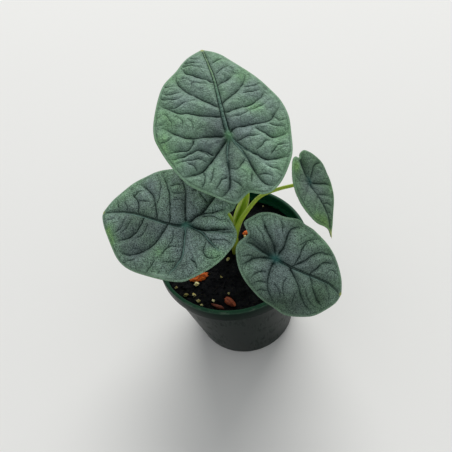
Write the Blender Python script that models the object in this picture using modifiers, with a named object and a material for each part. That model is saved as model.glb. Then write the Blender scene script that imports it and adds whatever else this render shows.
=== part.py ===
"""An alocasia melo with four leaves, growing in a round nursery pot.

Lengths are in millimetres, and MM turns them into metres when an object is made. The origin
is the middle of the pot's underside, +Z is up, and the small leaf leans out over +X.
"""
import math

import bmesh
import bpy
from mathutils import Euler, Matrix, Vector, geometry, noise

MM = 0.001
GAP = 0.3
SHARP_ANGLE = 35.0
GRID_CLEARANCE = 0.6
POINT_MERGE = 0.0001

# Pot
RIM_RADIUS = 52.5
POT_HEIGHT = 90.0
COLLAR_HEIGHT = 10.5
COLLAR_STEP = 2.0
BASE_RADIUS = 37.5
LIP_WIDTH = 2.2
LIP_HEIGHT = 2.4
LIP_UNDERCUT = 0.9
LEDGE_RISE = 1.2
WALL = 1.3
FLOOR = 1.8
FLOOR_FILLET = 1.0
EDGE_ROUND = 0.5
POT_STEPS = 64
DRAIN_HOLES = 6
DRAIN_RADIUS = 3.5
DRAIN_CIRCLE = 27.0

# Soil
SOIL_LEVEL = 79.5
SOIL_LUMPS = 1.1
LUMP_SIZE = 7.0
SOIL_STEPS = 60
SOIL_SPACING = 5.5
STEM_HOLE_DEPTH = 9.5
STEM_HOLE_PLAY = 0.5
GRAIN_RISE = 0.9
GRAIN_RINGS = (0.75, 1.05)
BED_RINGS = (0.98, 1.1)
CHIP_BED = 1.0
CHIP_BED_SHARE = 0.62
CHIP_BED_PLAY = 0.4

# Each grain is x, y and its radius
PERLITE = [
    (-29.1, -18.8, 1.6), (-31.9, -27.2, 1.4), (-37.3, -25.2, 1.4), (-43.0, -17.9, 1.0),
    (-29.5, -32.1, 1.2), (-27.9, -35.3, 0.9), (-19.7, -34.1, 1.0), (-11.6, -17.3, 0.9),
    (-4.7, -3.9, 1.2), (-8.7, -31.1, 0.8), (29.0, 36.0, 0.7), (10.6, 12.3, 1.0),
    (20.0, -20.0, 1.4), (34.0, -8.0, 1.3), (26.0, 14.0, 1.5), (-12.0, 30.0, 1.6),
    (-30.0, 18.0, 1.4), (2.0, 38.0, 1.2), (16.0, -36.0, 1.2), (-40.0, 5.0, 1.2),
]

# Chips of bark: name, x, y, turn in degrees, length, width and height
CHIPS = [
    ("bark_chip_orange", -26.6, -13.2, 8.0, 12.0, 6.0, 4.0),
    ("bark_pebble", -9.3, -37.4, -56.0, 8.6, 4.8, 3.8),
    ("bark_sliver", -17.6, -38.5, -36.0, 9.0, 2.4, 2.0),
    ("bark_chip_small", 12.2, 15.8, 20.0, 5.4, 3.2, 2.2),
]
CHIP_ROUGHNESS = 0.3
CHIP_GRAIN = 1.7
CHIP_UNDERSIDE = -0.45

# Stems
STEM_RING = [90, 64, 44, 26, 0, -45, -90, -135, 180, 154, 136, 116]
STEM_RING_STEP = 5.0
STEM_KNEE = 4.0
STEM_FOOT_RISE = 2.5
STEM_END_PLAY = 0.5
CHANNEL_SPREAD = 26.0
WING_ANGLE = 44.0
WING_SPREAD = 16.0
SHEATH_SKEW = 1.3
CHANNEL_DEPTH = 0.6
STEM_TAPER = 1.4

# Blades
BLADE_THICKNESS = 0.8
PUFF_WIDTH = 4.0
MARGIN_ROLL = 5.0
WAVE_COUNT = 9
HUB_REACH = 0.28
FOLD_START = 4.0

# Each leaf is set by where its stalk meets the blade, the way its tip heads from +Y to +X,
# the tip's rise and the blade's roll, all in degrees. Its reach is to the tip, to the base
# and to the sides, and the droop and sides are the fall of the blade at that reach. The hub,
# puff and wave are heights, and the fold is the depth and width of the valley from the hub to
# the notch. A stem's points follow its middle from the soil up, its radii are at the foot and
# the top, and its sheath has a start and an end, as shares of its length, and a wing height.
# Outlines and veins are seen from above, with the stalk at 0, 0 and the tip up. An outline
# starts at the tip and runs to the right.
LEAVES = {
    "upper": {
        "at": (12.0, 12.0, 178.0), "heading": -2.0, "rise": 19.0, "roll": 7.0,
        "reach": (62.0, 44.0, 41.0), "droop": (-10.0, -5.0), "sides": (-5.0, -5.0),
        "hub": 1.5, "puff": 1.6, "wave": 0.5, "fold": (0.0, 1.0), "notch": (2.8, -36.5),
        "spacing": 4.4,
        "stem": [(3.2, 9.0, 79.5), (3.4, 9.0, 89.0), (6.1, 11.0, 100.0), (9.5, 11.5, 111.0),
                 (14.3, 11.5, 122.0), (17.7, 11.5, 133.0), (19.0, 12.5, 148.0),
                 (16.5, 13.5, 163.0)],
        "stem_radius": (2.7, 1.6), "sheath": (0.1, 0.56, 3.4),
        "outline": [
            (-0.3, 69.4), (2.2, 67.7), (6.3, 65.5), (10.5, 62.0), (14.4, 56.8), (23.3, 44.2),
            (31.5, 30.0), (36.8, 20.0),
            (38.3, 8.5), (37.3, -1.5), (34.3, -15.5), (29.2, -25.0), (22.7, -33.2),
            (16.2, -38.0), (11.2, -39.0), (6.7, -37.7), (2.8, -36.5), (-2.0, -39.2),
            (-6.0, -41.2), (-12.0, -38.2), (-20.0, -32.2), (-30.0, -23.6), (-36.0, -12.0),
            (-41.0, 2.5), (-42.0, 10.7), (-40.0, 21.3), (-34.5, 35.7), (-29.0, 45.6),
            (-20.3, 54.0), (-16.0, 59.0), (-12.0, 62.9), (-8.0, 65.5), (-3.2, 67.9)],
        "veins": [
            [(0.0, 0.0), (0.0, 19.0), (1.0, 44.0), (0.2, 66.5)],
            [(0.0, 0.0), (4.0, 4.5), (13.0, 5.0), (25.0, 5.5), (30.0, 9.5), (34.3, 14.5)],
            [(0.2, 22.0), (10.7, 28.5), (16.8, 34.3), (21.0, 42.3)],
            [(0.0, 0.0), (7.0, -9.5), (13.0, -14.5), (18.5, -18.5), (30.5, -18.5)],
            [(0.0, 0.0), (6.0, -13.0), (10.0, -26.0), (13.5, -32.5), (19.0, -35.0)],
            [(0.0, 19.0), (-7.0, 25.0), (-17.0, 35.3), (-21.3, 44.4), (-20.7, 50.0)],
            [(0.0, 13.0), (-12.5, 16.7), (-20.0, 20.4), (-25.0, 21.5), (-33.0, 29.0)],
            [(0.0, 0.0), (-11.0, 2.0), (-19.5, 2.5), (-27.0, 5.8), (-36.0, 14.0)],
            [(0.0, 0.0), (-6.5, -7.0), (-16.0, -16.0), (-21.0, -19.0), (-31.0, -19.5)],
            [(0.0, 0.0), (-4.0, -12.0), (-4.5, -18.5), (-7.0, -31.0), (-13.5, -36.0)],
            [(0.2, 16.5), (5.0, 16.5), (16.5, 18.3), (24.2, 22.0), (29.4, 26.8)],
            [(1.0, 35.5), (5.8, 38.4), (13.0, 42.2)],
            [(16.5, 2.0), (21.0, -2.0), (25.5, -5.3), (34.0, -4.2)],
            [(0.8, 38.0), (-7.8, 45.8), (-14.2, 51.3), (-16.2, 56.2)],
            [(-20.5, 1.0), (-22.0, -2.0), (-26.0, -3.7), (-36.0, -2.5)],
            [(-12.0, -10.0), (-18.5, -5.0), (-28.0, -7.0), (-35.0, -7.0)]],
    },
    "left": {
        "at": (-24.0, -18.0, 144.0), "heading": -59.0, "rise": -5.0, "roll": -19.0,
        "reach": (54.0, 36.0, 34.0), "droop": (-8.0, -5.0), "sides": (-5.0, -5.0),
        "hub": 1.5, "puff": 1.6, "wave": 0.5, "fold": (0.0, 1.0), "notch": (11.4, -23.8),
        "spacing": 4.2,
        "stem": [(-3.5, 6.5, 79.5), (-2.5, 6.5, 94.0), (-0.5, 6.0, 105.0), (-1.0, 5.0, 117.0),
                 (-5.0, 2.5, 128.0), (-12.5, -4.0, 135.0)],
        "stem_radius": (2.6, 1.5), "sheath": (0.08, 0.5, 1.2),
        "outline": [
            (1.0, 65.6), (9.5, 61.4), (16.0, 56.4), (23.4, 49.5), (28.8, 40.5), (33.3, 33.3),
            (36.2, 24.6), (38.6, 13.0), (38.0, 1.0), (35.0, -9.0), (29.5, -18.5),
            (23.8, -24.3), (18.3, -26.4), (13.7, -25.7), (11.4, -23.8), (9.6, -25.0),
            (5.7, -28.7), (1.5, -31.7), (-3.8, -32.5), (-9.5, -31.0), (-15.2, -27.9),
            (-21.0, -23.0), (-26.0, -18.0), (-30.0, -12.6), (-33.0, -6.5), (-34.4, 4.5),
            (-33.8, 19.0), (-32.8, 28.5), (-30.5, 36.0), (-26.2, 43.0), (-20.5, 49.2),
            (-14.7, 54.8), (-8.5, 60.4), (-2.5, 64.6)],
        "veins": [
            [(0.0, 0.0), (-1.0, 9.0), (0.0, 20.0), (2.3, 37.7), (2.6, 51.5), (1.4, 62.4)],
            [(0.0, 0.0), (9.5, 4.0), (17.0, 6.2), (22.2, 8.3), (27.3, 12.5), (33.5, 16.0)],
            [(0.0, 0.0), (6.0, -3.5), (10.5, -7.5), (19.0, -11.0), (28.0, -13.0)],
            [(6.0, -3.5), (9.0, -8.0), (11.5, -14.5), (15.0, -21.5)],
            [(0.0, 20.0), (6.6, 23.3), (14.3, 28.0), (19.5, 35.4), (22.7, 43.4)],
            [(-0.8, 11.0), (8.0, 13.6), (17.2, 17.8), (25.4, 23.7), (31.7, 29.0)],
            [(2.0, 34.5), (10.4, 39.4), (15.7, 46.4)],
            [(-0.8, 12.0), (-10.4, 15.0), (-16.4, 18.8), (-20.8, 25.0), (-23.7, 33.3),
             (-22.7, 41.2)],
            [(1.2, 29.5), (-7.3, 31.5), (-13.7, 36.8), (-16.6, 46.3)],
            [(0.0, 0.0), (-8.5, -1.5), (-15.5, -3.0), (-21.5, -2.5), (-30.0, 2.0)],
            [(0.0, 0.0), (-2.0, -10.0), (-6.5, -17.0), (-11.0, -24.5)],
            [(0.0, 0.0), (-0.5, -11.5), (1.0, -18.0), (3.0, -28.0)]],
    },
    "right": {
        "at": (23.0, -47.0, 132.0), "heading": 122.0, "rise": -27.0, "roll": 28.0,
        "reach": (42.0, 27.0, 26.5), "droop": (-5.5, -1.5), "sides": (-3.5, -3.5),
        "hub": 4.0, "puff": 1.6, "wave": 0.4, "fold": (1.2, 4.5), "notch": (-4.4, -21.0),
        "spacing": 3.6,
        "stem": [(7.0, -3.0, 79.5), (8.5, -7.0, 88.0), (12.0, -14.0, 99.0),
                 (15.5, -24.0, 111.0), (19.0, -35.0, 121.5)],
        "stem_radius": (2.5, 1.4), "sheath": (0.1, 0.5, 1.2),
        "outline": [
            (0.0, 44.1), (6.0, 43.5), (13.0, 39.8), (18.5, 35.5), (22.0, 30.0), (25.0, 23.3),
            (26.0, 18.8), (25.2, 11.5), (24.4, 3.6), (22.2, -3.5), (19.3, -10.3),
            (15.3, -16.0), (10.6, -20.3), (6.3, -23.1), (2.3, -23.6), (-1.2, -22.3),
            (-4.4, -21.0), (-6.2, -22.6), (-8.5, -25.6), (-10.5, -26.0), (-14.0, -24.0),
            (-19.0, -20.3), (-22.2, -14.2), (-23.6, -7.0), (-26.2, 1.0), (-25.4, 6.0),
            (-25.2, 11.5), (-23.3, 18.3), (-20.9, 24.3), (-17.3, 30.4), (-12.4, 36.0),
            (-6.9, 40.5)],
        "veins": [
            [(0.0, 0.0), (0.0, 13.0), (-1.5, 26.0), (-2.0, 35.0), (-0.5, 41.0)],
            [(0.0, 0.0), (-6.0, -4.0), (-11.0, -11.0), (-17.0, -18.5)],
            [(0.0, 0.0), (-7.5, 1.0), (-13.5, 0.0), (-19.0, 0.0), (-23.5, 4.5)],
            [(0.0, 10.0), (-6.5, 15.0), (-12.0, 18.0), (-15.5, 22.0), (-16.5, 27.0)],
            [(-2.0, 11.3), (-6.5, 11.5), (-12.5, 10.5), (-18.0, 12.0), (-22.0, 17.0)],
            [(-1.0, 21.0), (-5.5, 23.0), (-10.0, 25.0), (-14.0, 31.0)],
            [(0.0, 0.0), (-0.5, -9.0), (-1.0, -15.5), (0.0, -20.0)],
            [(0.0, 0.0), (5.0, -10.5), (8.5, -13.0), (12.0, -15.5)],
            [(0.0, 0.0), (8.5, 0.5), (14.0, 2.0), (18.5, 5.0), (23.0, 11.0)],
            [(0.0, 8.5), (5.5, 16.0), (11.0, 22.0), (15.0, 27.0), (17.0, 33.0)],
            [(-1.2, 21.5), (6.0, 28.0), (9.5, 32.5), (11.5, 37.0)]],
    },
    "small": {
        "at": (53.5, -9.0, 148.0), "heading": 172.0, "rise": -36.0, "roll": -43.0,
        "reach": (36.0, 20.0, 20.0), "droop": (-3.0, -1.0), "sides": (-3.5, -0.8),
        "hub": 4.0, "puff": 1.1, "wave": 0.12, "fold": (1.8, 4.0), "notch": (4.6, -15.0),
        "spacing": 3.0,
        "stem": [(1.4, 1.5, 79.5), (2.8, 1.0, 90.0), (4.8, 2.5, 101.0), (9.4, 2.5, 111.5),
                 (14.7, 1.5, 121.0), (20.5, 0.5, 130.0), (26.0, -1.5, 136.5),
                 (35.5, -4.5, 142.0), (44.5, -6.0, 144.0)],
        "stem_radius": (2.2, 1.1), "sheath": (0.08, 0.3, 0.8),
        "outline": [
            (0.0, 36.5), (0.4, 33.5), (1.2, 30.8), (4.0, 28.5), (9.3, 25.3), (13.3, 20.8),
            (16.5, 15.2), (18.6, 7.6), (19.0, 2.7), (17.7, -4.0), (15.3, -10.3),
            (12.1, -14.7), (8.7, -15.8), (4.6, -15.0), (3.1, -17.4), (-0.4, -18.5),
            (-4.0, -17.3), (-9.7, -14.1), (-13.5, -10.3), (-15.8, -5.0), (-16.5, 4.0),
            (-15.7, 10.5), (-12.8, 16.0), (-8.5, 22.6), (-4.3, 29.0), (-1.9, 32.3),
            (-0.9, 34.5)],
        "veins": [
            [(0.0, 0.0), (-0.5, 11.0), (-2.5, 21.0), (-2.5, 27.0), (-0.8, 32.0)],
            [(0.0, 0.0), (-3.5, -2.5), (-6.0, -7.0), (-9.0, -9.0), (-14.0, -9.5)],
            [(0.0, 0.0), (-7.0, 3.0), (-13.0, 4.5), (-15.5, 6.5)],
            [(-0.5, 9.0), (-7.5, 10.5), (-11.0, 12.0)],
            [(-1.5, 15.0), (-6.5, 16.0), (-9.0, 18.5)],
            [(0.0, 0.0), (5.0, -1.0), (11.5, -1.0), (14.5, -5.5)],
            [(0.0, 0.0), (6.0, 4.0), (12.0, 7.5), (16.0, 12.0)],
            [(-0.5, 10.0), (5.0, 13.5), (9.0, 17.5), (11.0, 21.5)],
            [(0.0, 0.0), (1.0, -5.5), (4.5, -11.5)]],
    },
}


def clear_scene():
    for old in list(bpy.data.objects):
        bpy.data.objects.remove(old, do_unlink=True)


def new_collection(name):
    collection = bpy.data.collections.new(name)
    bpy.context.scene.collection.children.link(collection)
    return collection


def new_material(name, colour, roughness):
    material = bpy.data.materials.new(name)
    material.use_nodes = True
    shader = material.node_tree.nodes["Principled BSDF"]
    shader.inputs["Base Color"].default_value = (*colour, 1.0)
    shader.inputs["Roughness"].default_value = roughness
    shader.inputs["Metallic"].default_value = 0.0
    material.diffuse_color = (*colour, 1.0)
    return material


def add_object(name, bm, collection, material=None):
    """Scale a bmesh from millimetres to metres and make an object of it."""
    bmesh.ops.scale(bm, vec=(MM, MM, MM), verts=bm.verts)
    mesh = bpy.data.meshes.new(name)
    bm.to_mesh(mesh)
    bm.free()
    mesh.shade_smooth()
    mesh.set_sharp_from_angle(angle=math.radians(SHARP_ANGLE))
    if material:
        mesh.materials.append(material)
    obj = bpy.data.objects.new(name, mesh)
    collection.objects.link(obj)
    return obj


def cut(target, cutter):
    """Take a cutter away from an object, and show the cutter as wires."""
    cutter.hide_render = True
    cutter.display_type = "WIRE"
    boolean = target.modifiers.new("Cut " + cutter.name, "BOOLEAN")
    boolean.operation = "DIFFERENCE"
    boolean.object = cutter


def smooth_curve(points, step, closed=False):
    """Points about one step apart along a Catmull-Rom curve through the given points."""
    knots = [Vector(p) for p in points]
    if closed:
        knots = [knots[-1]] + knots + [knots[0], knots[1]]
    else:
        knots = [2 * knots[0] - knots[1]] + knots + [2 * knots[-1] - knots[-2]]
    curve = []
    for a, b, c, d in zip(knots, knots[1:], knots[2:], knots[3:]):
        count = max(1, round((c - b).length / step))
        for k in range(count):
            t = k / count
            curve.append(0.5 * (2 * b + (c - a) * t + (2 * a - 5 * b + 4 * c - d) * t ** 2
                                + (3 * b - a - 3 * c + d) * t ** 3))
    if not closed:
        curve.append(knots[-2])
    return curve


def distance_to_lines(point, lines):
    """Distance from a flat point to the nearest of several polylines."""
    nearest = math.inf
    for line in lines:
        for start, end in zip(line, line[1:]):
            along = end - start
            t = (point - start).dot(along) / max(along.length_squared, 1e-9)
            foot = start + along * min(1.0, max(0.0, t))
            nearest = min(nearest, (point - foot).length)
    return nearest


def inside(point, loop):
    """True where a flat point lies within a closed loop."""
    crossings = 0
    for a, b in zip(loop, loop[1:] + loop[:1]):
        if (a.y > point.y) != (b.y > point.y):
            if point.x < a.x + (point.y - a.y) * (b.x - a.x) / (b.y - a.y):
                crossings += 1
    return crossings % 2 == 1


def triangulated_sheet(loop, lines, spacing, extra=()):
    """A flat bmesh of even triangles within a loop, with edges along the given lines."""
    points = list(loop)
    edges = [(k, (k + 1) % len(loop)) for k in range(len(loop))]
    for line in lines:
        first = len(points)
        points += line
        edges += [(first + k, first + k + 1) for k in range(len(line) - 1)]
    points += extra
    borders = [loop + loop[:1]] + list(lines)
    row_height = spacing * math.sqrt(0.75)
    low = Vector((min(p.x for p in loop), min(p.y for p in loop)))
    high = Vector((max(p.x for p in loop), max(p.y for p in loop)))
    for row in range(int((high.y - low.y) / row_height) + 1):
        for column in range(int((high.x - low.x) / spacing) + 2):
            point = Vector((low.x + (column - 0.5 * (row % 2)) * spacing,
                            low.y + (row + 0.5) * row_height))
            clear = distance_to_lines(point, borders) > GRID_CLEARANCE * spacing
            clear = clear and all((point - e).length > GRID_CLEARANCE * spacing for e in extra)
            if clear and inside(point, loop):
                points.append(point)
    flat, _, faces, *_ = geometry.delaunay_2d_cdt(
        points, edges, [list(range(len(loop)))], 1, POINT_MERGE)
    bm = bmesh.new()
    verts = [bm.verts.new((p.x, p.y, 0.0)) for p in flat]
    for face in faces:
        bm.faces.new([verts[k] for k in face])
    bmesh.ops.recalc_face_normals(bm, faces=bm.faces)
    if sum(face.normal.z for face in bm.faces) < 0.0:
        bmesh.ops.reverse_faces(bm, faces=bm.faces)
    return bm


def inner_radius(z):
    """The pot's inside radius below the collar, which tapers to the floor."""
    top = RIM_RADIUS - COLLAR_STEP - WALL
    return BASE_RADIUS - WALL + (top - BASE_RADIUS + WALL) * z / (POT_HEIGHT - COLLAR_HEIGHT)


def build_pot(collection, cutters):
    """The moulded pot: one turned profile with round drainage holes in its floor."""
    collar_foot = POT_HEIGHT - COLLAR_HEIGHT
    body_top = RIM_RADIUS - COLLAR_STEP
    profile = [
        (0.0, FLOOR),
        (inner_radius(FLOOR) - FLOOR_FILLET, FLOOR),
        (inner_radius(FLOOR + FLOOR_FILLET), FLOOR + FLOOR_FILLET),
        (inner_radius(collar_foot), collar_foot + LEDGE_RISE),
        (RIM_RADIUS - WALL, collar_foot + LEDGE_RISE + EDGE_ROUND),
        (RIM_RADIUS - WALL, POT_HEIGHT - LIP_HEIGHT),
        (RIM_RADIUS - LIP_WIDTH, POT_HEIGHT - LIP_HEIGHT + LIP_UNDERCUT),
        (RIM_RADIUS - LIP_WIDTH, POT_HEIGHT - EDGE_ROUND),
        (RIM_RADIUS - LIP_WIDTH + EDGE_ROUND, POT_HEIGHT),
        (RIM_RADIUS - EDGE_ROUND, POT_HEIGHT),
        (RIM_RADIUS, POT_HEIGHT - EDGE_ROUND),
        (RIM_RADIUS, collar_foot + EDGE_ROUND),
        (RIM_RADIUS - EDGE_ROUND, collar_foot),
        (body_top, collar_foot),
        (BASE_RADIUS, 2.0 * EDGE_ROUND),
        (BASE_RADIUS - 2.0 * EDGE_ROUND, 0.0),
        (0.0, 0.0),
    ]
    bm = bmesh.new()
    verts = [bm.verts.new((radius, 0.0, z)) for radius, z in profile]
    for start, end in zip(verts, verts[1:]):
        bm.edges.new((start, end))
    pot = add_object("pot", bm, collection,
                     new_material("pot_plastic", (0.012, 0.045, 0.028), 0.35))
    screw = pot.modifiers.new("Turn", "SCREW")
    screw.steps = POT_STEPS
    screw.render_steps = POT_STEPS
    screw.use_merge_vertices = True
    screw.merge_threshold = 0.00001
    screw.use_smooth_shade = True
    for k in range(DRAIN_HOLES):
        angle = math.tau * k / DRAIN_HOLES
        hole = bmesh.new()
        bmesh.ops.create_cone(hole, cap_ends=True, segments=16, radius1=DRAIN_RADIUS,
                              radius2=DRAIN_RADIUS, depth=4.0 * FLOOR)
        bmesh.ops.translate(hole, verts=hole.verts, vec=(
            DRAIN_CIRCLE * math.cos(angle), DRAIN_CIRCLE * math.sin(angle), 0.5 * FLOOR))
        cut(pot, add_object("cut_drain_%d" % (k + 1), hole, cutters))


def bed_share(x, y, chip):
    """How far out from a chip's middle a point lies, where 1 is the edge of its bed."""
    _, chip_x, chip_y, turn, length, width, _ = chip
    across, ahead = x - chip_x, y - chip_y
    angle = math.radians(turn)
    along = across * math.cos(angle) + ahead * math.sin(angle)
    aside = ahead * math.cos(angle) - across * math.sin(angle)
    return math.hypot(along / (CHIP_BED_SHARE * length + CHIP_BED_PLAY),
                      aside / (CHIP_BED_SHARE * width + CHIP_BED_PLAY))


def soil_height(x, y):
    """Lumpy ground with raised perlite grains and a level bed under each bark chip."""
    lump = noise.noise(Vector((x, y, 0.0)) / LUMP_SIZE)
    height = SOIL_LEVEL + SOIL_LUMPS * lump
    for grain_x, grain_y, radius in PERLITE:
        away = math.hypot(x - grain_x, y - grain_y) / radius
        if away < 1.0:
            height += GRAIN_RISE * radius * math.sqrt(1.0 - away * away)
    if any(bed_share(x, y, chip) < 1.0 for chip in CHIPS):
        height = SOIL_LEVEL - CHIP_BED
    return height


def ring_points(x, y, shares, count, along, aside, turn=0.0):
    """A flat point at x, y with oval rings of points round it."""
    spin = Matrix.Rotation(math.radians(turn), 2)
    points = [Vector((x, y))]
    for k in range(count):
        angle = math.tau * k / count
        edge = spin @ Vector((along * math.cos(angle), aside * math.sin(angle)))
        points += [Vector((x, y)) + share * edge for share in shares]
    return points


def build_soil(collection, cutters):
    """The potting mix that fills the pot, cut with a plain hole for each stem."""
    top_radius = inner_radius(SOIL_LEVEL) - GAP
    step = math.tau / SOIL_STEPS
    rim = [Vector((math.cos(k * step), math.sin(k * step))) * top_radius
           for k in range(SOIL_STEPS)]
    relief = []
    for x, y, radius in PERLITE:
        relief += ring_points(x, y, GRAIN_RINGS, 6, radius, radius)
    for _, x, y, turn, length, width, _ in CHIPS:
        along, aside = (CHIP_BED_SHARE * size + CHIP_BED_PLAY for size in (length, width))
        relief += ring_points(x, y, BED_RINGS, 12, along, aside, turn)
    bm = triangulated_sheet(rim, [], SOIL_SPACING, relief)
    for vert in bm.verts:
        on_rim = vert.is_boundary
        vert.co.z = SOIL_LEVEL if on_rim else soil_height(vert.co.x, vert.co.y)
    below = [(inner_radius(0.5 * SOIL_LEVEL) - GAP, 0.5 * SOIL_LEVEL),
             (inner_radius(FLOOR + FLOOR_FILLET) - GAP, FLOOR + FLOOR_FILLET + GAP),
             (inner_radius(FLOOR) - FLOOR_FILLET - GAP, FLOOR + GAP)]
    edges = [edge for edge in bm.edges if edge.is_boundary]
    for radius, z in below:
        grown = bmesh.ops.extrude_edge_only(bm, edges=edges)["geom"]
        for vert in (item for item in grown if isinstance(item, bmesh.types.BMVert)):
            around = Vector((vert.co.x, vert.co.y)).normalized() * radius
            vert.co = (around.x, around.y, z)
        edges = [item for item in grown if isinstance(item, bmesh.types.BMEdge)]
    bmesh.ops.contextual_create(bm, geom=edges)
    bmesh.ops.recalc_face_normals(bm, faces=bm.faces)
    soil = add_object("soil", bm, collection,
                      new_material("potting_mix", (0.008, 0.008, 0.009), 0.95))
    for name, leaf in LEAVES.items():
        x, y, _ = leaf["stem"][0]
        hole = bmesh.new()
        radius = leaf["stem_radius"][0] + STEM_HOLE_PLAY
        bmesh.ops.create_cone(hole, cap_ends=True, segments=16, radius1=radius,
                              radius2=radius, depth=2.0 * STEM_HOLE_DEPTH)
        bmesh.ops.translate(hole, verts=hole.verts, vec=(x, y, SOIL_LEVEL - GAP))
        cut(soil, add_object("cut_stem_" + name, hole, cutters))


def build_chips(collection):
    """Bark chips: uneven lumps with level undersides, each lying in its bed in the soil."""
    bark = new_material("bark", (0.30, 0.09, 0.03), 0.8)
    for name, x, y, turn, length, width, height in CHIPS:
        bm = bmesh.new()
        bmesh.ops.create_icosphere(bm, subdivisions=2, radius=1.0)
        for vert in bm.verts:
            rough = 1.0 + CHIP_ROUGHNESS * noise.noise(CHIP_GRAIN * vert.co + Vector((x, y, length)))
            vert.co *= rough
            vert.co.z = max(vert.co.z, CHIP_UNDERSIDE)
            vert.co = Vector((vert.co.x * length, vert.co.y * width, vert.co.z * height)) / 2
        bottom = min(vert.co.z for vert in bm.verts)
        seat = SOIL_LEVEL - CHIP_BED + GAP
        spin = Matrix.Rotation(math.radians(turn), 4, "Z")
        place = Matrix.Translation(Vector((x, y, seat - bottom)))
        bmesh.ops.transform(bm, matrix=place @ spin, verts=bm.verts)
        add_object(name, bm, collection, bark)


def leaf_frame(leaf):
    """The blade's place: +X to its right, +Y to its tip, +Z out of its upper face."""
    turn = Euler((math.radians(leaf["rise"]), 0.0, 0.0)).to_matrix()
    roll = Euler((0.0, math.radians(leaf["roll"]), 0.0)).to_matrix()
    head = Euler((0.0, 0.0, -math.radians(leaf["heading"]))).to_matrix()
    return Matrix.Translation(Vector(leaf["at"])) @ (head @ turn @ roll).to_4x4()


def blade_height(leaf, point, to_vein, to_margin):
    """Height of the upper face: the blade's droop, its dished hub, fold, puffs and waves."""
    tip, base, half = leaf["reach"]
    ahead = point.y > 0.0
    length_share = point.y / (tip if ahead else base)
    side_share = point.x / half
    height = leaf["droop"][0 if ahead else 1] * length_share ** 2
    height += leaf["sides"][0 if point.x > 0.0 else 1] * side_share ** 2
    height += leaf["hub"] * (1.0 - math.exp(-(point.length / (HUB_REACH * tip)) ** 2))
    depth, width = leaf["fold"]
    notch = Vector(leaf["notch"])
    share = min(1.0, max(0.0, point.dot(notch) / notch.length_squared))
    valley = math.exp(-((point - share * notch).length / width) ** 2)
    height -= depth * valley * (1.0 - math.exp(-(point.length / FOLD_START) ** 2))
    inward = min(1.0, to_margin / MARGIN_ROLL)
    height += leaf["puff"] * inward * (1.0 - math.exp(-(to_vein / PUFF_WIDTH) ** 2))
    around = math.atan2(point.y, point.x)
    return height + leaf["wave"] * (1.0 - inward) * math.sin(WAVE_COUNT * around)


def build_blade(name, leaf, collection, material):
    """One blade: a sheet puffed up between its veins, given thickness below."""
    spacing = leaf["spacing"]
    tip, *rest = leaf["outline"]
    loop = smooth_curve([tip] + rest + [tip], spacing)[:-1]
    veins = [smooth_curve(vein, spacing) for vein in leaf["veins"]]
    bm = triangulated_sheet(loop, veins, spacing)
    margin = [loop + loop[:1]]
    for vert in bm.verts:
        flat = vert.co.xy
        vert.co.z = blade_height(leaf, flat, distance_to_lines(flat, veins),
                                 distance_to_lines(flat, margin))
    blade = add_object("leaf_" + name, bm, collection, material)
    shell = blade.modifiers.new("Thickness", "SOLIDIFY")
    shell.thickness = BLADE_THICKNESS * MM
    shell.offset = -1.0
    place = leaf_frame(leaf)
    place.translation *= MM
    blade.matrix_world = place


def build_stem(name, leaf, collection, material):
    """A leaf stalk: a loft whose lower part opens into a winged sheath with a channel."""
    normal = leaf_frame(leaf).to_3x3().col[2]
    top = Vector(leaf["at"]) - (BLADE_THICKNESS + GAP) * normal
    foot = Vector(leaf["stem"][0])
    deep = foot - Vector((0.0, 0.0, STEM_HOLE_DEPTH - STEM_END_PLAY))
    above = foot + Vector((0.0, 0.0, STEM_FOOT_RISE))
    route = [deep, foot, above] + leaf["stem"][1:] + [top - STEM_KNEE * normal, top]
    path = smooth_curve(route, STEM_RING_STEP)
    open_side = -leaf_frame(leaf).to_3x3().col[1]
    lower, upper = leaf["stem_radius"]
    sheath_start, sheath_end, wing = leaf["sheath"]
    bm = bmesh.new()
    rings = []
    for k, centre in enumerate(path):
        along = (path[min(k + 1, len(path) - 1)] - path[max(k - 1, 0)]).normalized()
        if k == len(path) - 1:
            along = normal
        elif k < 2:
            along = Vector((0.0, 0.0, 1.0))
        dorsal = (open_side - open_side.dot(along) * along).normalized()
        side = dorsal.cross(along)
        share = k / (len(path) - 1)
        radius = lower + (upper - lower) * min(1.0, STEM_TAPER * share)
        opened = 0.0
        if sheath_start < share < sheath_end:
            part_way = (share - sheath_start) / (sheath_end - sheath_start)
            opened = math.sin(math.pi * part_way ** SHEATH_SKEW)
        ring = []
        for angle in STEM_RING:
            off = abs(angle - 90.0)
            off = min(off, 360.0 - off)
            groove = CHANNEL_DEPTH * opened * math.exp(-(off / CHANNEL_SPREAD) ** 2)
            flange = wing * opened * math.exp(-((off - WING_ANGLE) / WING_SPREAD) ** 2)
            reach = radius * (1.0 - groove) + flange
            turn = math.radians(angle)
            ring.append(bm.verts.new(centre + reach * (math.cos(turn) * side
                                                       + math.sin(turn) * dorsal)))
        rings.append(ring)
    count = len(STEM_RING)
    for low, high in zip(rings, rings[1:]):
        for k in range(count):
            bm.faces.new((low[k], low[(k + 1) % count], high[(k + 1) % count], high[k]))
    bm.faces.new(rings[0])
    bm.faces.new(rings[-1])
    bmesh.ops.recalc_face_normals(bm, faces=bm.faces)
    add_object("petiole_" + name, bm, collection, material)


def main():
    clear_scene()
    plant = new_collection("alocasia_melo")
    cutters = new_collection("cutters")
    build_pot(plant, cutters)
    build_soil(plant, cutters)
    build_chips(plant)
    blade_green = new_material("leaf_blade", (0.09, 0.16, 0.11), 0.6)
    stem_green = new_material("leaf_stalk", (0.25, 0.33, 0.06), 0.45)
    for name, leaf in LEAVES.items():
        build_stem(name, leaf, plant, stem_green)
        build_blade(name, leaf, plant, blade_green)


main()
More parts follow.
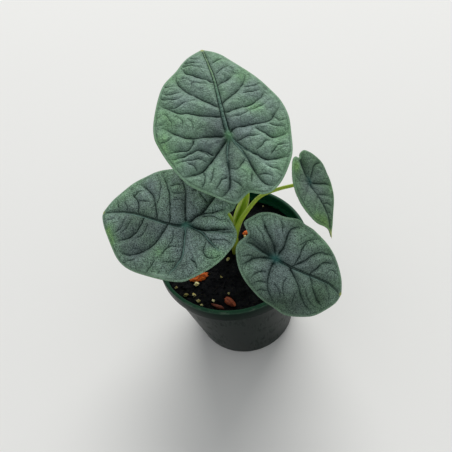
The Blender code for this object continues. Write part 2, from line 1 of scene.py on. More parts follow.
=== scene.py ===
"""Dresses the plain solids of a potted alocasia melo: blades, stalks, mix, bark and pot.

The builders work in millimetres, and MM turns them into metres. A blade is drawn flat, with
its stalk at 0, 0 and its tip up, then raised into its quilted form and put in its place.
"""
import math

import bmesh
import bpy
import numpy as np
from mathutils import Euler, Matrix, Vector, geometry, noise
from mathutils.kdtree import KDTree


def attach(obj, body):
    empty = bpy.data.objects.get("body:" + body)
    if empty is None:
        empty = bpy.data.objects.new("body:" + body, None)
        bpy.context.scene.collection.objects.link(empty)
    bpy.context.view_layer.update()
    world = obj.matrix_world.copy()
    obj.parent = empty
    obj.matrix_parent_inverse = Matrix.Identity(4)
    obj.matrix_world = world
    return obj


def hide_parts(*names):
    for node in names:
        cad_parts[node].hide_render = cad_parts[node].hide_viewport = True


bl_info = {
    "name": "Potted Alocasia Melo",
    "version": (1, 0, 0),
    "blender": (4, 5, 0),
    "location": "3D View > Sidebar > Alocasia",
    "description": "Builds the quilted leaves, stalks, potting mix and pot of an alocasia melo",
    "category": "Add Mesh",
}

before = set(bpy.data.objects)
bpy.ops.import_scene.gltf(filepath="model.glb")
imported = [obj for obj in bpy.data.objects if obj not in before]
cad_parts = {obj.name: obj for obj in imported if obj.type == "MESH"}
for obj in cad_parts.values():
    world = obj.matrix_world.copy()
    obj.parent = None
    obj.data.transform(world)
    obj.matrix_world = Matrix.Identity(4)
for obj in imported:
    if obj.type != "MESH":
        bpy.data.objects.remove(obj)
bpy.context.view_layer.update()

MM = 0.001
GAP = 0.3
GRID_CLEARANCE = 0.6
POINT_MERGE = 0.0001

# Pot
RIM_RADIUS = 52.5
POT_HEIGHT = 90.0
COLLAR_HEIGHT = 10.5
COLLAR_STEP = 2.0
BASE_RADIUS = 37.5
LIP_WIDTH = 2.2
LIP_HEIGHT = 2.4
LIP_UNDERCUT = 0.9
LEDGE_RISE = 1.2
WALL = 1.3
FLOOR = 1.8
FLOOR_FILLET = 1.0
EDGE_ROUND = 0.5
TURN_STEPS = 192
TURN_MERGE = 0.00001
BEVEL_SEGMENTS = 2
BEVEL_ANGLE = 30.0
SHARP_ANGLE = 40.0
DRAIN_HOLES = 6
DRAIN_RADIUS = 3.5
DRAIN_CIRCLE = 27.0
DRAIN_SIDES = 32

# Soil
SOIL_LEVEL = 79.5
SOIL_LUMPS = 1.1
LUMP_SIZE = 7.0
SOIL_RIM_POINTS = 160
STEM_HOLE_DEPTH = 9.5
STEM_HOLE_PLAY = 0.5
STEM_HOLE_DIP = 3.0
GRAIN_RISE = 0.9
GRAIN_SEAT = 0.4
GRAIN_CORE = 0.86
GRAIN_FINENESS = 4
CHIP_BED = 1.0
CHIP_BED_SHARE = 0.62
CHIP_BED_PLAY = 0.4
SOIL_ROUGHNESS = 0.5
ROUGH_SIZE = 2.2

# Fractal noise: its smoothness, the step from one octave to the next, and their number
FRACTAL = (0.8, 2.0, 4)

# How many crumbs there are to a square metre, and their sides
LARGE_CRUMBS = (104000.0, 7)
SMALL_CRUMBS = (400000.0, 5)
CRUMB_LEAST = (0.3, 0.25, 0.2)
CRUMB_MOST = (1.2, 0.8, 0.7)
CRUMB_TURN = (6.28, 6.28, 6.28)
CRUMB_SHOVE = 1.4
SHOVE_SCALE = 900.0
LEVEL_ENOUGH = 0.4

# Each grain is x, y, its radius and how stained it is
PERLITE = [
    (-29.1, -18.8, 1.6, 0.0), (-31.9, -27.2, 1.4, 0.25), (-37.3, -25.2, 1.4, 0.9),
    (-43.0, -17.9, 1.0, 0.85), (-29.5, -32.1, 1.2, 0.75), (-27.9, -35.3, 0.9, 0.6),
    (-19.7, -34.1, 1.0, 0.3), (-11.6, -17.3, 0.9, 0.7), (-4.7, -3.9, 1.2, 0.5),
    (-8.7, -31.1, 0.8, 0.8), (29.0, 36.0, 0.7, 0.8), (10.6, 12.3, 1.0, 0.4),
    (20.0, -20.0, 1.4, 0.3), (34.0, -8.0, 1.3, 0.2), (26.0, 14.0, 1.5, 0.5),
    (-12.0, 30.0, 1.6, 0.3), (-30.0, 18.0, 1.4, 0.7), (2.0, 38.0, 1.2, 0.4),
    (16.0, -36.0, 1.2, 0.2), (-40.0, 5.0, 1.2, 0.5),
]

# Chips of bark: name, x, y, turn in degrees, length, width, height, redness, splinters and age
CHIPS = [
    ("bark_chip_orange", -26.6, -13.2, 8.0, 12.0, 6.0, 4.0, 0.05, 0.26, 0.0),
    ("bark_pebble", -9.3, -37.4, -56.0, 8.6, 4.8, 3.8, 0.7, 0.06, 0.35),
    ("bark_sliver", -17.6, -38.5, -36.0, 9.0, 2.4, 2.0, 1.0, 0.14, 0.6),
    ("bark_chip_small", 12.2, 15.8, 20.0, 5.4, 3.2, 2.2, 0.0, 0.2, 0.0),
]
CHIP_ROUGHNESS = 0.3
CHIP_GRAIN = 1.7
CHIP_UNDERSIDE = -0.45
CHIP_FINENESS = 5
SPLINTER_GRAIN = (2.0, 5.0, 5.0)

# Stems
STEM_KNEE = 4.0
STEM_FOOT_RISE = 2.5
STEM_END_PLAY = 0.5
STEM_TAPER = 1.4
STALK_DEPTH = 0.6
RING_ANGLES = range(0, 360, 10)
DORSAL_ANGLE = 90.0
CHANNEL_SPREAD = 26.0
CHANNEL_DEPTH = 0.6
WING_ANGLE = 44.0
WING_SPREAD = 16.0
CREST_SPREAD = 6.4
FULL_WING = 2.6
SHEATH_SKEW = 1.3
FIBRE_STRETCH = 0.06

# Blades. VEIN_FADE and VEIN_WAVER are for the midrib, main, side and fine veins in turn.
MARGIN_ROLL = 5.0
WAVE_COUNT = 9.0
HUB_REACH = 0.28
FOLD_START = 4.0
HUB_SPOT = 2.8
HUB_FADE = (1.5, 4.2)
THREAD_WIDTH = 0.26
NET_CELLS = 0.19
NET_WARP = 5.0
VEIN_FADE = (0.12, 0.24, 0.3, 0.36)
VEIN_WAVER = (0.15, 0.25, 0.6, 0.8)
VEIN_SEED = 7
BENDS = 0.25
SMALL_BENDS = 0.7
SMALL_BEND_SHARE = 0.35
FINE_VEIN_START = 0.45
FINE_VEIN_RISE = 0.2
BEAD_INSET = 0.8
BEAD_WIDTH = 0.6
CURL_INSET = 1.9
CURL_WIDTH = 0.9
CALM_EDGE = (-0.5, 3.0)
PALE_CREASE = 0.4
MARGIN_FADE = 2.2
RIB_TAPER = 0.72
LOBE_EDGE = (5.0, -5.0)

# Stage: half the floor's width in millimetres, then camera and light in metres and degrees
FLOOR_HALF = 4000.0
CAMERA_PLACE = (0.0, -0.2243, 0.3952)
CAMERA_TURN = (37.7, 7.74, -9.65)
CAMERA_SENSOR = 36.0
CAMERA_NEAR = 0.01
KEY_PLACE = (1.33, 3.64, 3.43)
KEY_TARGET = (0.0, 0.0, 0.11)
KEY_COLOUR = (1.0, 0.99, 0.97)
SKY_COLOUR = (0.97, 0.985, 1.0, 1.0)

# green                     patches of fresher green: x, y and radius
# What each leaf holds, in millimetres and degrees:
#   at, heading, rise, roll   the place of its hub and the way it points, climbs and leans
#   reach                     from the hub to its tip, to its base and to its side
#   droop, sides              how much it falls at tip and base, at right and left
#   hub, puff, wave           how far it is dished, puffed up between veins and waved
#   fold, notch               depth and width of the valley to the notch, and the notch's place
#    freshness, shade          how green and how bright its skin is, partly painted light and shade
#   grain, dots               contrast of its leather and of its dark pores
#   yellow, pale_rib, rim     size of its yellow tip, paleness of its midrib and of its margin
#   threads, thread           which main veins carry a pale thread, and its strength
#   thread_end                how far out a thread goes, as a share of the reach
#    rib_line             offset and strength of a painted highlight on the lit side of the midrib
#   spot, green_hub           strength of the hub's spot, and how green it is and not teal
#    lobes                     relief behind the hub, painted light on it, painted shade in its valleys
# ink             strength of its dark lines, and of its painted crease shade behind the hub
#    fold_shade, calm          painted shade along the fold, and smoothness of the right side
#   relief                    shares by which sizes in BladeSettings differ on this leaf
#   curl                      place, spread and height of the roll in its margin
#    tones       x, y, radius, brightness change: painted light above 0, painted shade below
#   stem, stem_radius         the stalk's route, and its radius at foot and top
#   sheath                    where along the stalk it opens and closes, and its wings' width
#   outline, midrib, main, side, fine   its margin from the tip round, and its veins
# Place, form, outline and stalk are those of the plain solid, but the left leaf's sheath is
# longer and wider here. The blade puffs up between its midrib, main and side veins.
LEAF_TABLE = {
    "upper": {
        "at": (12.0, 12.0, 178.0), "heading": -2.0, "rise": 19.0, "roll": 7.0,
        "reach": (62.0, 44.0, 41.0), "droop": (-10.0, -5.0), "sides": (-5.0, -5.0), "hub": 1.5,
        "puff": 1.6, "wave": 0.5, "notch": (2.8, -36.5), "freshness": 0.37, "shade": 1.83,
        "grain": 1.15, "dots": 1.5, "yellow": 2.6, "pale_rib": 0.9, "thread": 0.5,
        "threads": (2, 3, 8), "thread_end": 0.36, "green_hub": 1.0, "lobes": 0.35, "ink": 1.0,
        "spot": 0.85, "rim": 0.4, "stem_radius": (2.7, 1.6), "sheath": (0.1, 0.56, 3.4),
        "tones": [
            (-6, 5, 10, -0.42), (-4, -14, 6, -0.32), (-12, -6, 6, -0.2), (1, -4, 6, -0.4),
            (2.5, -17, 5, -0.25), (8, -28, 4, -0.15), (-1, -34, 6, -0.3), (-10.5, -34, 5, -0.25),
            (-20.5, -10.5, 4.5, -0.25), (21, 1, 7, 0.14), (19, 15, 6, 0.14), (18, -25, 6, 0.34),
            (-21, 25, 6, 0.22), (0, 56, 8, 0.1),
        ],
        "green": [(-36, 2, 7), (-32, 20, 8), (19, 15, 5), (17, 39, 6), (4, -25, 6), (-33, -8, 6)],
        "stem": [
            (3.2, 9, 79.5), (3.4, 9, 89), (6.1, 11, 100), (9.5, 11.5, 111), (14.3, 11.5, 122),
            (17.7, 11.5, 133), (19, 12.5, 148), (16.5, 13.5, 163),
        ],
        "outline": [
            (-0.3, 69.4), (2.2, 67.7), (6.3, 65.5), (10.5, 62), (14.4, 56.8), (23.3, 44.2),
            (31.5, 30), (36.8, 20), (38.3, 8.5), (37.3, -1.5), (34.3, -15.5), (29.2, -25),
            (22.7, -33.2), (16.2, -38), (11.2, -39), (6.7, -37.7), (2.8, -36.5), (-2, -39.2),
            (-6, -41.2), (-12, -38.2), (-20, -32.2), (-30, -23.6), (-36, -12), (-41, 2.5),
            (-42, 10.7), (-40, 21.3), (-34.5, 35.7), (-29, 45.6), (-20.3, 54), (-16, 59),
            (-12, 62.9), (-8, 65.5), (-3.2, 67.9),
        ],
        "midrib": [(0, 0), (0, 19), (1, 44), (0.2, 66.5)],
        "main": [
            [(0, 0), (4, 4.5), (13, 5), (25, 5.5), (30, 9.5), (34.3, 14.5)],
            [(0.2, 22), (10.7, 28.5), (16.8, 34.3), (21, 42.3)],
            [(0, 0), (7, -9.5), (13, -14.5), (18.5, -18.5), (30.5, -18.5)],
            [(0, 0), (6, -13), (10, -26), (13.5, -32.5), (19, -35)],
            [(0, 19), (-7, 25), (-17, 35.3), (-21.3, 44.4), (-20.7, 50)],
            [(0, 13), (-12.5, 16.7), (-20, 20.4), (-25, 21.5), (-33, 29)],
            [(0, 0), (-11, 2), (-19.5, 2.5), (-27, 5.8), (-36, 14)],
            [(0, 0), (-6.5, -7), (-16, -16), (-21, -19), (-31, -19.5)],
            [(0, 0), (-4, -12), (-4.5, -18.5), (-7, -31), (-13.5, -36)],
        ],
        "side": [
            [(0.2, 16.5), (5, 16.5), (16.5, 18.3), (24.2, 22), (29.4, 26.8)],
            [(1, 35.5), (5.8, 38.4), (13, 42.2)], [(16.5, 2), (21, -2), (25.5, -5.3), (34, -4.2)],
            [(0.8, 38), (-7.8, 45.8), (-14.2, 51.3), (-16.2, 56.2)],
            [(-20.5, 1), (-22, -2), (-26, -3.7), (-36, -2.5)],
            [(-12, -10), (-18.5, -5), (-28, -7), (-35, -7)],
        ],
        "fine": [
            [(2.5, 45.5), (13.5, 51)], [(2, -4), (11, -3), (18, -3)],
            [(25, 4), (28, 1.5), (33.5, 0)], [(13, -12), (17, -9.5), (21, -7), (24, -8)],
            [(21, -16.5), (24, -13), (27, -11), (33, -11)],
            [(11, -26.5), (16, -27.5), (19.5, -30.5)], [(15.5, -21), (20.5, -24.5), (24.5, -27.5)],
            [(-4.5, -20), (-0.5, -22), (3.5, -18.5), (6, -15)],
            [(-4.5, -27), (-1.5, -29.5), (0, -34)], [(-13.3, 40.5), (-8, 40), (-2, 37.5)],
            [(-20, 47), (-15.7, 46), (-13.3, 42), (-13.3, 38.5), (-15.6, 35.6)],
            [(-39.5, 4), (-34.7, 4.5), (-31.5, 7.5)],
            [(-15.5, -14.5), (-18, -12.5), (-22.5, -10.5), (-34.5, -10.5)],
            [(-26.2, -12.5), (-23.7, -15), (-22, -18.5)],
            [(-6.5, -24.5), (-10.5, -26.5), (-13.5, -29.5), (-15.5, -32.5)],
            [(-19, -19.5), (-19.5, -24.5), (-22, -29)],
            [(-13.3, -18.3), (-15.3, -24.4), (-17.9, -27.7)],
            [(-19, -5), (-15.3, -8.3), (-13.7, -12)], [(-30, 43), (-26.5, 42), (-22.7, 41.5)],
            [(-31.5, 38.3), (-27, 36), (-20, 36.2)],
            [(-33.5, 35), (-28.5, 32), (-24, 31.3), (-20, 32)],
            [(-34, 30.5), (-29.6, 26.4), (-26, 25.5), (-19, 27.5), (-13, 27.5)],
            [(-14, 60), (-9.7, 58.3), (-4.7, 56.3)],
            [(-15.6, 57.5), (-10.2, 56), (-4.9, 52.2), (-1, 50)],
            [(-10.8, 62.8), (-7, 61.5), (-3, 60.5)],
            [(-34.8, 23.3), (-32, 21), (-30.5, 17), (-31, 12.6)],
            [(-28.5, 19), (-25.3, 17.3), (-24.3, 13.2), (-25.7, 9.4)],
            [(-21, 15.6), (-18.7, 12.4), (-19.4, 7.7)], [(17.2, 31.8), (22.3, 30.7), (27.2, 33.3)],
            [(14.4, 26.6), (20.6, 27), (26.5, 28.4)],
            [(4.6, 11.4), (10, 12), (15.7, 14), (24.5, 16.5), (30.5, 20.8)],
            [(2.6, 55.2), (7.2, 56.8), (10.8, 57.2)], [(29.6, 8), (32, 4.8), (35.5, 5)],
            [(7.5, -26), (4.8, -32)],
        ],
    },
    "left": {
        "at": (-24.0, -18.0, 144.0), "heading": -59.0, "rise": -5.0, "roll": -19.0,
        "reach": (54.0, 36.0, 34.0), "droop": (-8.0, -5.0), "sides": (-5.0, -5.0), "hub": 1.5,
        "puff": 1.6, "wave": 0.5, "notch": (11.4, -23.8), "freshness": 0.25, "shade": 1.68,
        "grain": 1.6, "dots": 4.0, "yellow": 2.0, "pale_rib": 0.3, "thread": 0.9,
        "threads": (4, 5), "thread_end": 0.8, "rib_line": (-0.9, 0.5), "green_hub": 0.2,
        "lobes": 0.9, "ink": 1.1, "spot": 0.75, "rim": 0.4, "curl": (-31.0, 8.0, 8.0, 0.9),
        "stem_radius": (2.6, 1.5), "sheath": (0.12, 0.6, 3.8),
        "relief": {"rib_width": 0.2, "rib_height": 0.3, "main_depth": 1.2, "lump_height": 1.3},
        "tones": [
            (0, 36, 12, -0.4), (-16, 35, 8, -0.3), (-19, 23, 7, -0.2), (-26, -2, 5, -0.25),
            (-24, -7, 4, -0.35), (-6, 22, 7, -0.36), (16, 37, 7, 0.2), (17.5, 19, 6, 0.18),
            (4.5, 60, 5, 0.25), (10, -18, 8, 0.4), (0, -22, 8, 0.38), (-13, -26, 5, 0.2),
        ],
        "green": [
            (14, 51, 7), (-12, 53, 6), (-10, 56, 4), (-17, 49, 4), (-20, 11, 4), (-14, -23, 5),
            (27, 25, 6),
        ],
        "stem": [
            (-3.5, 6.5, 79.5), (-2.5, 6.5, 94), (-0.5, 6, 105), (-1, 5, 117), (-5, 2.5, 128),
            (-12.5, -4, 135),
        ],
        "outline": [
            (1, 65.6), (9.5, 61.4), (16, 56.4), (23.4, 49.5), (28.8, 40.5), (33.3, 33.3),
            (36.2, 24.6), (38.6, 13), (38, 1), (35, -9), (29.5, -18.5), (23.8, -24.3),
            (18.3, -26.4), (13.7, -25.7), (11.4, -23.8), (9.6, -25), (5.7, -28.7), (1.5, -31.7),
            (-3.8, -32.5), (-9.5, -31), (-15.2, -27.9), (-21, -23), (-26, -18), (-30, -12.6),
            (-33, -6.5), (-34.4, 4.5), (-33.8, 19), (-32.8, 28.5), (-30.5, 36), (-26.2, 43),
            (-20.5, 49.2), (-14.7, 54.8), (-8.5, 60.4), (-2.5, 64.6),
        ],
        "midrib": [(0, 0), (-1, 9), (0, 20), (2.3, 37.7), (2.6, 51.5), (1.4, 62.4)],
        "main": [
            [(0, 0), (9.5, 4), (17, 6.2), (22.2, 8.3), (27.3, 12.5), (33.5, 16)],
            [(0, 0), (6, -3.5), (10.5, -7.5), (19, -11), (28, -13)],
            [(0, 20), (6.6, 23.3), (14.3, 28), (19.5, 35.4), (22.7, 43.4)],
            [(-0.8, 12), (-10.4, 15), (-16.4, 18.8), (-20.8, 25), (-23.7, 33.3), (-22.7, 41.2)],
            [(0, 0), (-8.5, -1.5), (-15.5, -3), (-21.5, -2.5), (-30, 2)],
            [(0, 0), (-2, -10), (-6.5, -17), (-11, -24.5)],
            [(0, 0), (-0.5, -11.5), (1, -18), (3, -28)],
        ],
        "side": [
            [(6, -3.5), (9, -8), (11.5, -14.5), (15, -21.5)],
            [(-0.8, 11), (8, 13.6), (17.2, 17.8), (25.4, 23.7), (31.7, 29)],
            [(2, 34.5), (10.4, 39.4), (15.7, 46.4)],
            [(1.2, 29.5), (-7.3, 31.5), (-13.7, 36.8), (-16.6, 46.3)],
        ],
        "fine": [
            [(9, 23.5), (17.5, 24), (23.5, 26.5), (29.5, 31.5)], [(11, 39), (11, 29)],
            [(-3, 24.5), (-9.5, 25.5), (-16, 33)], [(-2, 38), (-8.5, 40.5), (-13.5, 44.5)],
            [(-2.4, 43), (-8.5, 45), (-13, 50)], [(-4.5, 6.5), (-11, 5), (-16.5, 7.5)],
            [(-24.5, 8), (-22, -2.5)], [(14, 44), (17, 41), (17.7, 35.5)],
            [(3, 51.8), (8, 55), (11.2, 55.4)], [(3, 45), (7.2, 46.5), (12, 51)],
            [(23.4, 18.6), (25, 15.2), (26.3, 11.4)], [(14.6, 13), (15, 5.5)],
            [(20.5, -3.5), (16.7, -7.8), (14.2, -9.2)], [(21.3, 2.7), (22.8, 0.5), (20.8, -1.4)],
            [(7, -8.3), (8.6, -14.3), (7.2, -19), (7.4, -24)],
            [(18.8, 16.4), (19.2, 11.7), (20.6, 7.4)],
            [(-8, -15.5), (-12.8, -16), (-16.5, -18.4), (-15.7, -22), (-13, -26.5)],
            [(-5.7, -16), (-5.2, -20.5), (-4.4, -26.3), (-5.6, -31)],
            [(-0.4, -19.2), (0.8, -25), (1.2, -30)], [(-20.8, 22), (-19.1, 28), (-21.6, 33)],
            [(-21, 9.6), (-17.7, 8.2), (-14.6, 4.6), (-13.4, -1.7)],
            [(-31.6, 17.6), (-27, 13.8), (-22.9, 12.5)], [(-30, 38), (-27.5, 33), (-25, 26.7)],
            [(-19, -9.8), (-22, -13.7), (-25.4, -15.5)], [(-4.2, 58.5), (-3, 55.2), (-1.3, 52.8)],
        ],
    },
    "right": {
        "at": (23.0, -47.0, 132.0), "heading": 122.0, "rise": -27.0, "roll": 28.0,
        "reach": (42.0, 27.0, 26.5), "droop": (-5.5, -1.5), "sides": (-3.5, -3.5), "hub": 4.0,
        "puff": 1.6, "wave": 0.4, "fold": (1.2, 4.5), "notch": (-4.4, -21.0), "freshness": 0.3,
        "shade": 1.41, "grain": 1.3, "dots": 2.8, "yellow": 2.0, "pale_rib": 0.2, "thread": 0.4,
        "rib_line": (0.9, 0.3), "fold_shade": 0.7, "lobes": 0.5, "ink": 0.85, "spot": 0.7,
        "rim": 0.2, "stem_radius": (2.5, 1.4), "sheath": (0.1, 0.5, 1.2),
        "relief": {"rib_width": 0.2, "rib_height": 0.3, "main_depth": 0.85, "main_width": 1.3,
                   "side_depth": 0.85},
        "tones": [
            (-14, -17, 8, 0.4), (-3.5, -6, 4.5, -0.5), (-15, 7, 6, 0.2), (25, 7, 7, -0.5),
            (18, 22, 8, -0.55), (9, 33, 6, -0.45), (20, -5, 5, -0.3), (0, -13, 4.5, -0.22),
            (20, 14, 4.5, -0.42), (-5.5, 19, 4.5, -0.22), (-0.5, 31.5, 4.5, -0.25),
        ],
        "green": [(10, 33, 7), (-21, 25, 5)],
        "stem": [(7, -3, 79.5), (8.5, -7, 88), (12, -14, 99), (15.5, -24, 111), (19, -35, 121.5)],
        "outline": [
            (0, 44.1), (6, 43.5), (13, 39.8), (18.5, 35.5), (22, 30), (25, 23.3), (26, 18.8),
            (25.2, 11.5), (24.4, 3.6), (22.2, -3.5), (19.3, -10.3), (15.3, -16), (10.6, -20.3),
            (6.3, -23.1), (2.3, -23.6), (-1.2, -22.3), (-4.4, -21), (-6.2, -22.6), (-8.5, -25.6),
            (-10.5, -26), (-14, -24), (-19, -20.3), (-22.2, -14.2), (-23.6, -7), (-26.2, 1),
            (-25.4, 6), (-25.2, 11.5), (-23.3, 18.3), (-20.9, 24.3), (-17.3, 30.4), (-12.4, 36),
            (-6.9, 40.5),
        ],
        "midrib": [(0, 0), (0, 13), (-1.5, 26), (-2, 35), (-0.5, 41)],
        "main": [
            [(0, 0), (-6, -4), (-11, -11), (-17, -18.5)],
            [(0, 0), (-7.5, 1), (-13.5, 0), (-19, 0), (-23.5, 4.5)],
            [(0, 10), (-6.5, 15), (-12, 18), (-15.5, 22), (-16.5, 27)],
            [(0, 0), (-0.5, -9), (-1, -15.5), (0, -20)],
            [(0, 0), (5, -10.5), (8.5, -13), (12, -15.5)],
            [(0, 0), (8.5, 0.5), (14, 2), (18.5, 5), (23, 11)],
            [(0, 8.5), (5.5, 16), (11, 22), (15, 27), (17, 33)],
        ],
        "side": [
            [(-2, 11.3), (-6.5, 11.5), (-12.5, 10.5), (-18, 12), (-22, 17)],
            [(-1, 21), (-5.5, 23), (-10, 25), (-14, 31)],
            [(-1.2, 21.5), (6, 28), (9.5, 32.5), (11.5, 37)],
        ],
        "fine": [
            [(-6, 29.5), (-9, 32), (-9, 37)], [(-0.5, 32.5), (3.5, 36.5), (8, 40)],
            [(6.5, 10), (12, 10.5), (17.5, 14.5)], [(9.5, 19), (15, 19.5), (19, 20)],
            [(8, 23), (12, 27.5), (14, 34)], [(8.5, -1.5), (12.5, -6.5), (16.5, -8)],
            [(14.5, 2.5), (15.5, -2.5), (19, -6)], [(18.2, 4.5), (18.7, 0.5), (21.7, -2.2)],
            [(-3.7, -7.6), (-8.7, -14.3), (-11.5, -21.5)],
            [(-10.2, -11.6), (-12, -14.4), (-16.5, -15.7)],
            [(-14.6, -3.4), (-18, -5), (-20.6, -8.5)], [(-14.9, 23.2), (-17, 26.8), (-16.2, 31)],
            [(4.7, -11.4), (6.1, -16), (8.5, -19)], [(-13.4, 8.3), (-17.4, 11.8), (-19, 16.6)],
            [(13, 5), (14.3, 9), (18.8, 12.5)],
        ],
    },
    "small": {
        "at": (53.5, -9.0, 148.0), "heading": 172.0, "rise": -36.0, "roll": -43.0,
        "reach": (36.0, 20.0, 20.0), "droop": (-3.0, -1.0), "sides": (-3.5, -0.8), "hub": 4.0,
        "puff": 1.1, "wave": 0.12, "fold": (1.8, 4.0), "notch": (4.6, -15.0), "freshness": 0.7,
        "shade": 1.14, "grain": 1.2, "dots": 1.7, "yellow": 7.0, "pale_rib": 0.2, "thread": 0.3,
        "fold_shade": 0.95, "lobes": 0.2, "ink": 0.75, "calm": 0.6, "spot": 0.3, "rim": 0.3,
        "stem_radius": (2.2, 1.1), "sheath": (0.08, 0.3, 0.8),
        "relief": {"rib_width": 0.2, "rib_height": 0.3, "main_depth": 0.7, "side_depth": 0.65,
                   "fine_depth": 0.6},
        "tones": [(0, 20, 8, -0.16), (9, -13, 5, 0.12)],
        "green": [(4, 25, 7), (12, -10, 4)],
        "stem": [
            (1.4, 1.5, 79.5), (2.8, 1, 90), (4.8, 2.5, 101), (9.4, 2.5, 111.5), (14.7, 1.5, 121),
            (20.5, 0.5, 130), (26, -1.5, 136.5), (35.5, -4.5, 142), (44.5, -6, 144),
        ],
        "outline": [
            (0, 36.5), (0.4, 33.5), (1.2, 30.8), (4, 28.5), (9.3, 25.3), (13.3, 20.8),
            (16.5, 15.2), (18.6, 7.6), (19, 2.7), (17.7, -4), (15.3, -10.3), (12.1, -14.7),
            (8.7, -15.8), (4.6, -15), (3.1, -17.4), (-0.4, -18.5), (-4, -17.3), (-9.7, -14.1),
            (-13.5, -10.3), (-15.8, -5), (-16.5, 4), (-15.7, 10.5), (-12.8, 16), (-8.5, 22.6),
            (-4.3, 29), (-1.9, 32.3), (-0.9, 34.5),
        ],
        "midrib": [(0, 0), (-0.5, 11), (-2.5, 21), (-2.5, 27), (-0.8, 32)],
        "main": [
            [(0, 0), (-3.5, -2.5), (-6, -7), (-9, -9), (-14, -9.5)],
            [(0, 0), (-7, 3), (-13, 4.5), (-15.5, 6.5)],
            [(0, 0), (5, -1), (11.5, -1), (14.5, -5.5)], [(0, 0), (6, 4), (12, 7.5), (16, 12)],
            [(0, 0), (1, -5.5), (4.5, -11.5)],
        ],
        "side": [
            [(-0.5, 9), (-7.5, 10.5), (-11, 12)], [(-1.5, 15), (-6.5, 16), (-9, 18.5)],
            [(-0.5, 10), (5, 13.5), (9, 17.5), (11, 21.5)],
        ],
        "fine": [
            [(5.8, -6.6), (8.8, -8.8), (12.5, -11.5)], [(3.4, 1.5), (10.7, 1.5), (17, 3)],
            [(3.3, 11), (9, 14.2), (13.5, 17)], [(0.3, 17), (3.5, 19.4), (8.5, 22)],
            [(-1.5, 20), (-4, 21), (-6.5, 22.5)], [(-5.6, -8.7), (-9.7, -7), (-13, -3.3)],
        ],
    },
}

# What a leaf has where the table above says nothing
PLAIN_LEAF = {
    "fold": (0.0, 1.0), "threads": (), "thread_end": 0.5, "rib_line": (0.0, 0.0),
    "green_hub": 0.0, "fold_shade": 0.0, "calm": 0.0, "relief": {},
    "curl": (0.0, 0.0, 1.0, 0.0),
}
LEAVES = {name: {**PLAIN_LEAF, **own} for name, own in LEAF_TABLE.items()}

# The inputs of a blade's rule that a leaf's values set, and the sizes that set the others
LEAF_INPUTS = {
    "reach": ("Reach Tip", "Reach Base", "Half Width"), "droop": ("Droop Tip", "Droop Base"),
    "sides": ("Fall Right", "Fall Left"), "hub": ("Hub Depth",), "puff": ("Puff Height",),
    "wave": ("Wave Height",), "fold": ("Fold Depth", "Fold Width"),
    "notch": ("Notch Across", "Notch Ahead"), "lobes": ("Lobe Relief",),
    "calm": ("Calm Side",), "thread_end": ("Thread End",),
    "curl": ("Curl Across", "Curl Ahead", "Curl Spread", "Curl Height"),
}
BLADE_SIZES = (
    "thickness", "puff_width", "main_depth", "main_width", "side_depth", "side_width",
    "fine_depth", "fine_width", "net_depth", "net_width", "thread_height", "rib_height",
    "rib_width", "bead_height", "lump_height",
)


def srgb(red, green, blue):
    """A colour given from 0 to 255, turned into the linear values that a shader takes."""
    return tuple(((c / 255 + 0.055) / 1.055) ** 2.4 if c > 10 else c / 3294.6
                 for c in (red, green, blue))


def number(name, description, value, least=0.0, **more):
    return bpy.props.FloatProperty(name=name, description=description, default=value,
                                   min=least, **more)


def length(name, description, millimetres):
    return number(name, description, millimetres * MM, precision=5, unit="LENGTH")


def factor(name, description, value):
    return number(name, description, value, max=1.0, subtype="FACTOR")


def colour(name, description, *shade):
    return bpy.props.FloatVectorProperty(name=name, description=description, size=3,
                                         default=srgb(*shade), min=0.0, max=1.0,
                                         subtype="COLOR")


class BladeSettings(bpy.types.PropertyGroup):
    spacing: length("Mesh spacing", "Distance between the points of a blade", 0.52)
    thickness: length("Thickness", "Thickness of a blade away from its margin", 0.8)
    puff_width: length("Puff width", "How far from a vein the blade has risen", 4.0)
    main_depth: length("Main crease depth", "Depth of the crease over a main vein", 2.3)
    main_width: length("Main crease width", "Distance at which most of it has risen", 1.2)
    side_depth: length("Side crease depth", "Depth of the crease over a side vein", 1.9)
    side_width: length("Side crease width", "Distance at which most of it has risen", 1.1)
    fine_depth: length("Fine crease depth", "Depth of the crease over a fine vein", 1.35)
    fine_width: length("Fine crease width", "Distance at which most of it has risen", 1.0)
    net_depth: length("Net depth", "Depth of the net of small creases", 0.35)
    thread_height: length("Thread height", "Height of the thin ridge along a main vein", 0.35)
    net_width: length("Net width", "Distance at which most of it has risen", 0.7)
    rib_height: length("Rib height", "Height of the raised midrib in its crease", 0.9)
    rib_width: length("Rib width", "Half width of the raised midrib at the hub", 1.2)
    bead_height: length("Bead height", "Height of the thickened margin", 0.3)
    lump_height: length("Lump height", "Height of the small uneven lumps", 0.7)
    skin: colour("Skin", "Grey-green upper skin", 103, 120, 116)
    fresh: colour("Fresh skin", "Greener skin towards the margin and the tip", 101, 136, 102)
    lime: colour("Lime", "Yellow-green of the freshest spots", 116, 158, 86)
    # The crease colour serves the dark vein lines and the painted shade in and beside the creases
    crease: colour("Crease", "Dark blue-green in the creases", 0, 32, 26)
    rib: colour("Rib", "Pale teal midrib", 104, 144, 128)
    rib_tip: colour("Rib end", "Light green end of the midrib", 138, 174, 132)
    # The thread colour also paints the highlight beside the midrib
    thread: colour("Thread", "Pale thread along a vein near the hub", 128, 170, 158)
    curl: colour("Curl", "Pale roll of a margin that curls up", 170, 204, 180)
    hub: colour("Hub", "Green spot where the stalk meets the blade", 92, 140, 100)
    teal: colour("Teal", "Teal spot where a stalk meets a darker blade", 52, 112, 106)
    tip: colour("Tip", "Yellow-green tip of the blade", 170, 178, 96)
    margin: colour("Margin", "Thin pale line along the margin", 112, 144, 110)
    under: colour("Underside", "Pale green underside", 136, 160, 118)
    under_vein: colour("Underside vein", "Lighter veins of the underside", 166, 184, 134)


